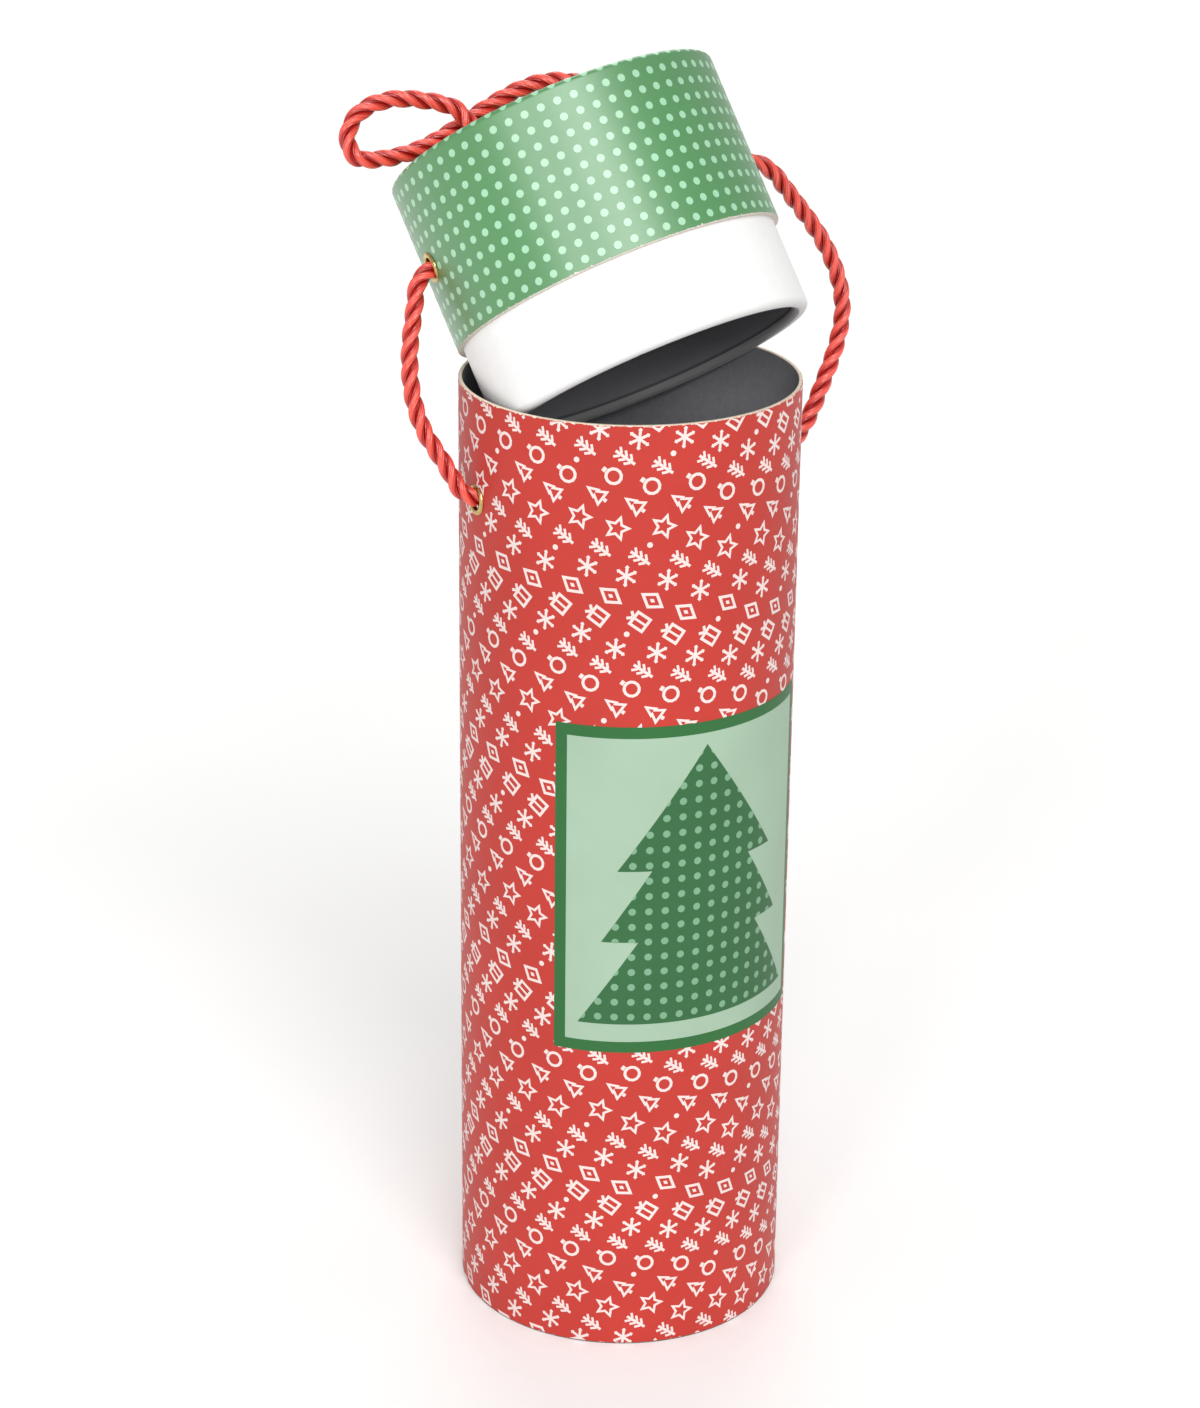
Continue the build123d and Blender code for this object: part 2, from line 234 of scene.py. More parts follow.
def mottled(tree, at, size_mm, grain, dark, light, span=NOISE_SPAN):
    """A linear colour that wanders between two, over lumps about as wide as the given size."""
    wander = add_node(tree, "ShaderNodeTexNoise", lumps(at, size_mm, grain))
    ramp = add_node(tree, "ShaderNodeValToRGB", {"Fac": wander})
    return set_stops(ramp, (span[0], dark), (span[1], light))


def toothed(tree, at, size_mm, grain, depth_mm, smooth, rough):
    """A fine tooth, as shader inputs: lumps in relief, which also vary the roughness unless it is even."""
    teeth = add_node(tree, "ShaderNodeTexNoise", lumps(at, size_mm, grain))
    relief = {"Height": teeth, "Distance": depth_mm * MM, "Strength": 1.0}
    look = {"Normal": add_node(tree, "ShaderNodeBump", relief), "Roughness": smooth}
    if rough > smooth:
        low, high = NOISE_SPAN
        span = {"Value": teeth, "From Min": low, "From Max": high, "To Min": smooth, "To Max": rough}
        look["Roughness"] = add_node(tree, "ShaderNodeMapRange", span)
    return look


def height_over(tree, at, leaning):
    """Height in metres over the floor or, on a piece that leans with the lid, over the lid's lower edge."""
    if leaning:
        turned = Matrix((lid_x, lid_y, lid_z)).transposed().to_euler()
        inputs = {"Vector": at, "Location": lid_foot, "Rotation": turned}
        at = add_node(tree, "ShaderNodeMapping", inputs, vector_type="TEXTURE")
    return add_node(tree, "ShaderNodeSeparateXYZ", {"Vector": at}).outputs["Z"]


# Where light and shade are painted, in mm: the neck's lip under the lid's lower edge, and for each
# band the two heights, over that lip or over the floor, between which it fades out: painted shade on
# the white paper's lip, a painted highlight and a painted shadow line on the lining's lip, and painted
# shade at the tube's foot
NECK_LIP = -25.7
LIP_SHADE_BAND = (0.4, 2.0)
LIP_HIGHLIGHT_BAND = (2.2, 2.5)
LIP_SHADOW_BAND = (2.7, 3.4)
FOOT_SHADE_BAND = (0.0, 4.0)

# Linings: their two colours and the size of their fibres, in mm
LINING_DARK = "#85858A"
LINING_LIGHT = "#919196"
LINING_TOOTH = 0.5

# Where paper is chipped: the reach of the chips from an edge and the width of one chip, in mm, what
# is added to the noise at the edge, the noise over which a chip fades in, and the paper's core
CHIP_REACH = 1.3
CHIP_SIZE = 1.1
CHIP_LEAD = 0.5
CHIP_FADE = 0.05
PAPER_CORE = "#E6DAD0"

# The darkest and the lightest of an ink, as shares of its colour, the part of a noise's range that
# they and a board's two colours are spread over, and how far a paper's roughness wanders either way
INK_SHADES = (0.94, 1.06)
INK_SPAN = (0.25, 0.75)
BOARD_SPAN = (0.3, 0.65)
ROUGHNESS_WANDER = 0.05
PAPER_IOR = 1.47
BOARD_IOR = 1.45

# Size of each grain, in mm
INK_DRIFT = 28.0
VARNISH_TOOTH = 0.7
MOTTLE_OVER_TOOTH = 3.5
BOARD_FIBRE = 0.8
BOARD_PORE = 0.35
TARNISH_SPOT = 2.5
PRESS_MARK = 0.5


def painted_band(tree, height, foot_mm, band, colour, painted_hex):
    """The colour turned into a painted shade or highlight below a band, which starts and ends at heights
    over a foot.
    """
    low, high = ((foot_mm + reach) * MM for reach in band)
    span = {"Value": height, "From Min": low, "From Max": high, "To Min": 1.0, "To Max": 0.0}
    inputs = {0: add_node(tree, "ShaderNodeMapRange", span), 6: colour, 7: linear(painted_hex)}
    return add_node(tree, "ShaderNodeMix", inputs, data_type="RGBA").outputs[2]


def chipped(tree, at, height, edge_mm, inward, colour, chip_start):
    """The colour with small chips of bare paper along an edge.

    A chip is where noise, with more added the nearer the edge is, passes a start value.
    """
    low, high = edge_mm * MM, (edge_mm + inward * CHIP_REACH) * MM
    span = {"Value": height, "From Min": low, "From Max": high, "To Min": CHIP_LEAD, "To Max": 0.0}
    near = add_node(tree, "ShaderNodeMapRange", span)
    torn = add_node(tree, "ShaderNodeTexNoise", lumps(at, CHIP_SIZE, TORN_EDGE))
    total = add_node(tree, "ShaderNodeMath", {0: near, 1: torn}, operation="ADD")
    span = {"Value": total, "From Min": chip_start, "From Max": chip_start + CHIP_FADE}
    inputs = {0: add_node(tree, "ShaderNodeMapRange", span), 6: colour, 7: linear(PAPER_CORE)}
    return add_node(tree, "ShaderNodeMix", inputs, data_type="RGBA").outputs[2]


def printed_paper(name, colour, coat=0.0, ior=1.38, edges=(), leaning=False):
    """Offset-printed art paper with a satin varnish, and the ink on it.

    The ink is slightly uneven over a few centimetres, fibres show as a fine tooth under the
    varnish, and the varnish gives a broad soft highlight. Along an edge that gets knocked, small
    chips show the paper's pale core.
    """
    material, tree, at = start_material(name)
    shades = (tinted(colour, share) for share in INK_SHADES)
    printed = mottled(tree, at, INK_DRIFT, SOFT_DRIFT, *shades, span=INK_SPAN)
    if edges:
        height = height_over(tree, at, leaning)
        for edge_mm, inward, chip_start in edges:
            printed = chipped(tree, at, height, edge_mm, inward, printed, chip_start)
    tooth = toothed(tree, at, VARNISH_TOOTH, FINE_TOOTH, depth_mm=0.01, smooth=0.47, rough=0.54)
    varnish = {"IOR": ior, "Coat Weight": coat, "Coat Roughness": 0.42, "Coat IOR": ior}
    return finish_material(material, {"Base Color": printed, **tooth, **varnish})


def plain_paper(name, dark, light, rough, tooth_mm, depth_mm, lip_shade_hex=None):
    """Uncoated or white paper: softly mottled and matt, with a fibre tooth.

    Where it rounds the neck's lip, it is greyed by painted shade.
    """
    material, tree, at = start_material(name)
    colour = mottled(tree, at, MOTTLE_OVER_TOOTH * tooth_mm, PAPER_FIBRES, linear(dark), linear(light))
    # Painted shade: greyer where the paper rounds the neck's lip
    if lip_shade_hex:
        colour = painted_band(tree, height_over(tree, at, True), NECK_LIP, LIP_SHADE_BAND, colour, lip_shade_hex)
    smooth, rough = rough - ROUGHNESS_WANDER, rough + ROUGHNESS_WANDER
    tooth = toothed(tree, at, tooth_mm, PAPER_FIBRES, depth_mm, smooth, rough)
    return finish_material(material, {"Base Color": colour, **tooth, "IOR": PAPER_IOR})


def sleeve_lining():
    """Dark grey lining paper, with a painted highlight where it goes round the sleeve's lip and a painted
    shadow line above it.
    """
    material, tree, at = start_material("Dark_grey_sleeve_paper")
    colour = mottled(tree, at, LINING_TOOTH, PAPER_FIBRES, linear(LINING_DARK), linear(LINING_LIGHT))
    height = height_over(tree, at, True)
    # Painted shadow line over the lip's rounding, then a paler painted highlight on the lip itself
    colour = painted_band(tree, height, NECK_LIP, LIP_SHADOW_BAND, colour, "#5A5A5E")
    colour = painted_band(tree, height, NECK_LIP, LIP_HIGHLIGHT_BAND, colour, "#A2A2A3")
    tooth = toothed(tree, at, LINING_TOOTH, PAPER_FIBRES, depth_mm=0.03, smooth=0.7, rough=0.7)
    return finish_material(material, {"Base Color": colour, **tooth, "IOR": PAPER_IOR})


def bare_board(name, dark, light, foot_shade_hex=None):
    """Spiral-wound board seen on its cut edge: pressed layers, pale fibres and pores, and painted shade
    darkening its foot.
    """
    material, tree, at = start_material(name)
    colour = mottled(tree, at, BOARD_FIBRE, BOARD_FIBRES, linear(dark), linear(light), BOARD_SPAN)
    # Painted shade: darker towards the floor
    if foot_shade_hex:
        colour = painted_band(tree, height_over(tree, at, False), 0.0, FOOT_SHADE_BAND, colour, foot_shade_hex)
    pores = toothed(tree, at, BOARD_PORE, BOARD_PORES, depth_mm=0.06, smooth=0.9, rough=0.9)
    return finish_material(material, {"Base Color": colour, **pores, "IOR": BOARD_IOR})


def stamped_brass():
    """Bright stamped brass: rolled sheet, lightly tarnished, with faint press marks."""
    material, tree, at = start_material("Stamped_brass")
    colour = mottled(tree, at, TARNISH_SPOT, SOFT_DRIFT, linear("#A8854A"), linear("#DDBF80"))
    marks = toothed(tree, at, PRESS_MARK, FINE_TOOTH, depth_mm=0.01, smooth=0.18, rough=0.32)
    return finish_material(material, {"Base Color": colour, **marks, "Metallic": 1.0})


# Filaments round a strand, which drift by so many radians in a millimetre; real ones are far finer,
# and these are the finest that show
FILAMENTS_ROUND = 9
FILAMENT_DRIFT = 0.35
# Streaks for each millimetre along a strand, and over half of it in the two ways across
STREAK_SCALE = (0.1, 2.2, 2.2)


def satin_cord():
    """Twisted rayon satin: fine filaments along each strand, pale streaks on them, deep red valleys.

    The strand's own map gives the way along it in millimetres and the turn round it, from 0 on
    the crest. Filaments are waves round the strand that drift as they run along it. Streaks are
    noise drawn out along the strand. The colour is painted light: a painted highlight towards each
    crest, painted sheen along the filaments and streaks, and painted shade, deepest red, where strands
    meet.
    """
    material, tree, strand = start_material("Twisted_rayon_satin", "UV")
    parts = add_node(tree, "ShaderNodeSeparateXYZ", {"Vector": strand})
    along, round_it = parts.outputs["X"], parts.outputs["Y"]
    angle = add_node(tree, "ShaderNodeMath", {0: round_it, 1: 2 * pi}, operation="MULTIPLY")
    crest = add_node(tree, "ShaderNodeMath", {0: angle}, operation="COSINE")
    aside = add_node(tree, "ShaderNodeMath", {0: angle}, operation="SINE")
    drift = add_node(tree, "ShaderNodeMath", {0: along, 1: FILAMENT_DRIFT}, operation="MULTIPLY")
    terms = {0: angle, 1: FILAMENTS_ROUND, 2: drift}
    phase = add_node(tree, "ShaderNodeMath", terms, operation="MULTIPLY_ADD")
    wave = add_node(tree, "ShaderNodeMath", {0: phase}, operation="SINE")
    filaments = add_node(tree, "ShaderNodeMapRange", {"Value": wave, "From Min": -1.0, "From Max": 1.0})
    place = add_node(tree, "ShaderNodeCombineXYZ", {"X": along, "Y": crest, "Z": aside})
    drawn_out = add_node(tree, "ShaderNodeVectorMath", {0: place, 1: STREAK_SCALE}, operation="MULTIPLY")
    streaks = add_node(tree, "ShaderNodeTexNoise", {"Vector": drawn_out, "Scale": 1.0, "Detail": 2.0})
    # Painted highlight and shade: lighter towards each strand's crest, darker in the valleys between strands
    span = {"Value": crest, "From Min": 0.25, "From Max": 1.0, "To Max": 0.55}
    painted_sheen = add_node(tree, "ShaderNodeMapRange", span)
    # Filaments and streaks add painted sheen to the colour
    for sheen, share in ((filaments, 0.14), (streaks, 0.6)):
        painted_sheen = add_node(tree, "ShaderNodeMath", {0: sheen, 1: share, 2: painted_sheen}, operation="MULTIPLY_ADD")
    ramp = add_node(tree, "ShaderNodeValToRGB", {"Fac": painted_sheen})
    # The ramp runs from the painted shade of the valleys to the painted highlight on the crests
    set_stops(ramp, (0.38, linear("#A50E06")), (1.0, linear("#F95948")))
    low, high = NOISE_SPAN
    gloss = {"Value": streaks, "From Min": low, "From Max": high, "To Min": 0.36, "To Max": 0.2}
    relief = {"Height": filaments, "Distance": 0.14 * MM, "Strength": 1.0}
    looks = {
        "Base Color": ramp,
        "Roughness": add_node(tree, "ShaderNodeMapRange", gloss),
        "Normal": add_node(tree, "ShaderNodeBump", relief),
    }
    return finish_material(material, {**looks, "IOR": 1.6, "Coat Weight": 0.3, "Coat Roughness": 0.2})


def build_mesh(name, points, faces, material, smooth=True):
    """A mesh object from an array of points in metres and a list or array of faces."""
    mesh = bpy.data.meshes.new(name)
    mesh.from_pydata(points.tolist(), [], faces)
    if smooth:
        mesh.polygons.foreach_set("use_smooth", np.ones(len(mesh.polygons), bool))
    made = bpy.data.objects.new(name, mesh)
    bpy.context.scene.collection.objects.link(made)
    mesh.materials.append(material)
    return made


def edge_keys(starts, ends, count):
    """One whole number for each edge between two of so many points, whichever way it runs."""
    starts, ends = starts.astype(np.int64), ends.astype(np.int64)
    return np.minimum(starts, ends) * count + np.maximum(starts, ends)


def film(name, outer, inner, faces, material):
    """A closed film of ink: its outer faces, the same faces turned over beneath, and a thin rim.

    A rim face stands on each edge that only one face uses. The rim's edges are sharp, so the
    smooth shading of the outer faces stops at them.
    """
    count = len(outer)
    starts, ends = faces.ravel(), np.roll(faces, -1, 1).ravel()
    open_edges = ~np.isin(starts * count + ends, ends * count + starts)
    start, end = starts[open_edges], ends[open_edges]
    rim = np.stack([end, start, start + count, end + count], -1)
    corners = faces.tolist() + (faces[:, ::-1] + count).tolist() + rim.tolist()
    made = build_mesh(name, np.concatenate([outer, inner]), corners, material)
    edges = np.zeros(2 * len(made.data.edges), np.int32)
    made.data.edges.foreach_get("vertices", edges)
    rim_edges = edge_keys(rim.ravel(), np.roll(rim, -1, 1).ravel(), 2 * count)
    sharp = np.isin(edge_keys(edges[::2], edges[1::2], 2 * count), rim_edges)
    made.data.edges.foreach_set("use_edge_sharp", sharp)
    return made


def on_tube(arc, height, lift):
    """Points over the unrolled wrap: the angle is the arc over the radius, measured from the front."""
    angle = arc / TUBE_RADIUS - pi / 2
    reach = TUBE_RADIUS + lift
    return np.stack([reach * np.cos(angle), reach * np.sin(angle), height + 0 * arc], -1) * MM


def in_lid(points, height=0.0):
    """Points of the lid's frame, raised by a height in metres, as points of the whole frame."""
    local = np.array(points) + np.array([0, 0, height])
    return local @ LID_MATRIX.T + np.array(lid_foot)


def on_lid(arc, along, lift):
    """Points over the lid's printed wrap.

    The distance along the wrap's section runs from the lower edge up the wall, then round the
    edge as a quarter circle, then inwards over the top. The arc is measured at the wall.
    """
    wall = LID_HEIGHT - LID_EDGE_ROUND
    quarter = LID_EDGE_ROUND * pi / 2
    turn = np.clip((along - wall) / LID_EDGE_ROUND, 0, pi / 2)
    inward = np.maximum(along - wall - quarter, 0)
    reach = TUBE_RADIUS - LID_EDGE_ROUND + (LID_EDGE_ROUND + lift) * np.cos(turn) - inward
    height = np.minimum(along, wall) + (LID_EDGE_ROUND + lift) * np.sin(turn)
    angle = arc / TUBE_RADIUS
    return in_lid(np.stack([-reach * np.sin(angle), reach * np.cos(angle), height], -1) * MM)


def on_lid_top(x, y, lift):
    """Points over the lid's flat top, by the lid's own two directions."""
    return in_lid(np.stack([x, y, LID_TOP + lift + 0 * x], -1) * MM)


def route_line(points):
    """The smooth line of a cord: a NURBS spline on the route's points, read off as points."""
    curve = bpy.data.curves.new("route", "CURVE")
    curve.dimensions = "3D"
    curve.resolution_u = ROUTE_STEPS
    spline = curve.splines.new("NURBS")
    spline.points.add(len(points) - 1)
    spline.points.foreach_set("co", np.column_stack([points, np.ones(len(points))]).ravel())
    spline.order_u = 3
    spline.use_endpoint_u = True
    holder = bpy.data.objects.new("route", curve)
    bpy.context.scene.collection.objects.link(holder)
    bpy.context.view_layer.update()
    mesh = bpy.data.meshes.new_from_object(holder)
    line = np.zeros(len(mesh.vertices) * 3)
    mesh.vertices.foreach_get("co", line)
    bpy.data.objects.remove(holder)
    bpy.data.curves.remove(curve)
    bpy.data.meshes.remove(mesh)
    return line.reshape(-1, 3)


def unit(vectors):
    """Each vector at length one."""
    return vectors / np.linalg.norm(vectors, axis=-1, keepdims=True)


def even_stations(line, spacing):
    """The line resampled at equal steps, with the distance along it."""
    steps = np.linalg.norm(np.diff(line, axis=0), axis=1)
    moves = steps > SHORTEST_STEP
    line, steps = line[np.concatenate([[True], moves])], steps[moves]
    along = np.concatenate([[0], np.cumsum(steps)])
    count = max(int(along[-1] / spacing), FEWEST_RINGS)
    station = np.linspace(0, along[-1], count)
    return np.stack([np.interp(station, along, line[:, axis]) for axis in range(3)], -1), station


def untwisted_sides(centre, station, away):
    """Two directions square to the line that don't spin about it.

    They start from a fixed direction squared to the line, and the spin of that pair, which is
    the rate at which one leans into the other, is summed along the line and taken out.
    """
    ahead = unit(np.gradient(centre, station, axis=0))
    side = unit(away - (ahead @ away)[:, None] * ahead)
    other = np.cross(ahead, side)
    rate = (np.gradient(side, station, axis=0) * other).sum(1)
    spin = -np.concatenate([[0], np.cumsum((rate[1:] + rate[:-1]) / 2 * np.diff(station))])
    first = np.cos(spin)[:, None] * side + np.sin(spin)[:, None] * other
    return first, np.cross(ahead, first)


# Strands that are twisted into the rope
STRANDS = 3


def strand_grid(centre, station, away, strand, sizes, diameter):
    """One strand of a three-strand rope, as rings of points.

    Its own centre winds round the rope's line at one turn for each lay, a third of a turn behind
    the next strand. Each ring is an ellipse square to the strand, a little wider round the rope
    than across it, as twisted strands press each other.
    """
    first, second = untwisted_sides(centre, station, away)
    winding = 2 * pi * (station / (sizes.lay * MM) + strand / STRANDS)
    outward = np.cos(winding)[:, None] * first + np.sin(winding)[:, None] * second
    line = centre + sizes.strand_offset_share * diameter * MM * outward
    along = unit(np.gradient(line, station, axis=0))
    aside = unit(np.cross(along, outward))
    outward = np.cross(aside, along)
    ring = np.linspace(0, 2 * pi, sizes.ring_sides, endpoint=False)
    half_out = (0.5 - sizes.strand_offset_share) * diameter * MM
    half_side = half_out * sizes.strand_flatness
    points = (
        line[:, None]
        + half_out * np.cos(ring)[None, :, None] * outward[:, None]
        + half_side * np.sin(ring)[None, :, None] * aside[:, None]
    )
    lengths = np.concatenate([[0], np.cumsum(np.linalg.norm(np.diff(line, axis=0), axis=1))]) / MM
    return points, lengths


def rope(name, points, away, sizes, material, squeeze=1.0):
    """A three-strand rope along a route, closed at both ends of each strand, and its middle line.

    Its map holds the way along each strand in millimetres and the turn round it, from 0 to 1.
    """
    diameter = sizes.diameter * squeeze
    centre, station = even_stations(route_line(points), sizes.ring_spacing * MM)
    places, faces, loops = [], [], []
    sides = sizes.ring_sides
    for strand in range(STRANDS):
        grid, lengths = strand_grid(centre, station, away, strand, sizes, diameter)
        rings = len(grid)
        base = strand * rings * sides
        row, column = np.meshgrid(np.arange(rings - 1), np.arange(sides), indexing="ij")
        here = base + row * sides + column
        beside = base + row * sides + (column + 1) % sides
        quads = np.stack([here, beside, beside + sides, here + sides], -1).reshape(-1, 4)
        u = np.stack([lengths[row], lengths[row], lengths[row + 1], lengths[row + 1]], -1)
        v = np.stack([column, column + 1, column + 1, column], -1) / sides
        places.append(grid.reshape(-1, 3))
        first_cap = list(range(base + sides - 1, base - 1, -1))
        last_cap = list(range(base + (rings - 1) * sides, base + rings * sides))
        faces += [*quads.tolist(), first_cap, last_cap]
        loops += [np.stack([u, v], -1).reshape(-1, 2), np.zeros((2 * sides, 2))]
    made = build_mesh(name, np.concatenate(places), faces, material)
    layer = made.data.uv_layers.new(name="strand")
    layer.data.foreach_set("uv", np.concatenate(loops).astype(np.float32).ravel())
    return made, centre


def millimetres(name, description, default, **limits):
    """A size in millimetres that the sidebar offers."""
    return bpy.props.FloatProperty(name=name, description=f"{description}, mm", default=default, **limits)


def plain_number(name, description, default, **limits):
    """A strength or a share that the sidebar offers."""
    return bpy.props.FloatProperty(name=name, description=description, default=default, **limits)


def degrees(name, description, default):
    """An angle that the sidebar offers, given here in degrees."""
    angle = {"default": radians(default), "subtype": "ANGLE"}
    return bpy.props.FloatProperty(name=name, description=description, **angle)


def whole_number(name, description, default, **limits):
    """A count that the sidebar offers."""
    return bpy.props.IntProperty(name=name, description=description, default=default, **limits)


def colour_choice(name, hex_code):
    """A colour that the sidebar offers."""
    colour = {"default": linear(hex_code), "size": 4, "min": 0.0, "max": 1.0, "subtype": "COLOR"}
    return bpy.props.FloatVectorProperty(name=name, description=f"Colour of the {name.lower()}", **colour)


class CordSizes(bpy.types.PropertyGroup):
    """Sizes of the twisted cord."""

    diameter: millimetres("Diameter", "Cord diameter over its crests", 5.0, min=2.0, max=8.0)
    lay: millimetres("Lay", "Length of one full turn of a strand", 17.0, min=8.0, max=30.0)
    strand_offset_share: plain_number(
        "Strand offset", "Strand centre from the cord's line, as a share of the diameter", 0.268,
        min=0.2, max=0.3, subtype="FACTOR",
    )
    strand_flatness: plain_number("Strand flatness", "Width of a strand round the cord over its depth", 1.04)
    ring_spacing: millimetres("Ring spacing", "Distance between two rings of points", 0.55, min=0.2)
    ring_sides: whole_number("Ring sides", "Points in one ring of a strand", 18, min=8, max=32)
    knot_share: plain_number(
        "Knot squeeze", "Cord diameter in a pulled knot, as a share", 0.84, subtype="FACTOR"
    )


class PrintSizes(bpy.types.PropertyGroup):
    """Layout of the tube's print on its unrolled wrap."""

    row_angle: degrees("Row angle", "Slope of the rows of marks", 54.5)
    row_pitch: millimetres("Row pitch", "Distance between two rows", 9.9, min=6.0)
    mark_gap: millimetres("Mark gap", "Clear distance between marks along a row", 1.7, min=0.5)
    mark_height: millimetres("Mark height", "Height of one mark", 6.3, min=2.0)
    ink_lift: millimetres("Ink lift", "Height of the white ink over the wrap", 0.05, min=0.03)


class LabelSizes(bpy.types.PropertyGroup):
    """The green panel and its fir on the unrolled wrap."""

    left: millimetres("Left", "Left edge's arc from the front", -19.7)
    right: millimetres("Right", "Right edge's arc from the front", 66.5)
    bottom: millimetres("Bottom", "Lower edge's height", 95.3)
    top: millimetres("Top", "Upper edge's height", 194.4)
    border: millimetres("Border", "Width of the green border", 3.4)
    fir_top: millimetres("Fir top", "Height of the fir's tip", 187.6)
    fir_foot: millimetres("Fir foot", "Height of the lowest tier", 104.2)
    fir_half_width: millimetres("Fir half width", "Half the width of the lowest tier", 36.0)
    lift: millimetres("Lift", "Height of each printed layer", 0.03)


class DotSizes(bpy.types.PropertyGroup):
    """The square grid of dots on the lid and on the fir."""

    pitch: millimetres("Pitch", "Distance between dots", 4.65)
    lid_row_pitch: millimetres("Lid row pitch", "Distance between rows of dots up the lid's wall", 4.58)
    diameter: millimetres("Diameter", "Dot diameter", 2.15)
    first_row: millimetres("First row", "Height of the lowest row over the lid's edge", 2.7)
    first_column: millimetres("First column", "Arc of one column from the lid's front", 1.5)
    slices: whole_number("Slices", "Slices across one dot", 8, min=6, max=16)
    lift: millimetres("Lift", "Height of the ink over the paper", 0.05)


class PrintColours(bpy.types.PropertyGroup):
    """Colours of the printed papers and of each ink."""

    red_paper: colour_choice("Red paper", "#B13128")
    green_paper: colour_choice("Green paper", "#2F7C39")
    white_ink: colour_choice("White marks", "#DCC9C5")
    border: colour_choice("Label border", "#26602F")
    mint: colour_choice("Label panel", "#95AE98")
    fir: colour_choice("Fir", "#2B5E35")
    fir_dots: colour_choice("Dots on the fir", "#709A7A")
    lid_dots: colour_choice("Dots on the lid", "#92C7A0")


class StudioSizes(bpy.types.PropertyGroup):
    """The camera and the light."""

    lens: millimetres("Lens", "Focal length", 90.24, min=20.0)
    pitch: degrees("Pitch", "How far the camera looks down", 21.667)
    yaw: degrees("Yaw", "How far the camera turns right", -0.4555)
    roll: degrees("Roll", "How far the camera tips", 0.6081)
    place: bpy.props.FloatVectorProperty(
        name="Place", description="Where the camera stands",
        default=(0.0, -0.93769, 0.55485), subtype="TRANSLATION",
    )
    room_light: plain_number("Room light", "Strength of the even white surroundings", 0.56, min=0.0)
    front_light: plain_number("Front light", "Strength of the broad light from the front", 1.95, min=0.0)
    front_width: degrees("Front width", "Angle that the front light and the back one span", 38.0)
    front_height: degrees("Front height", "How high the front light and the back one stand", 37.6)
    front_aside: degrees("Front aside", "How far right of the front the front light stands", 14.0)
    back_light: plain_number("Back light", "Strength of the broad light from behind", 0.8, min=0.0)
    fill_light: plain_number("Fill light", "Strength of the light beside the camera", 0.85, min=0.0)
    fill_width: degrees("Fill width", "Angle that the fill light spans", 14.0)
    fill_aside: degrees("Fill aside", "How far right of the front the fill light stands", -22.0)
    fill_height: degrees("Fill height", "How high the fill light stands", 17.0)


def settings(name):
    """One of the scene's groups of sizes."""
    return getattr(bpy.context.scene, name)


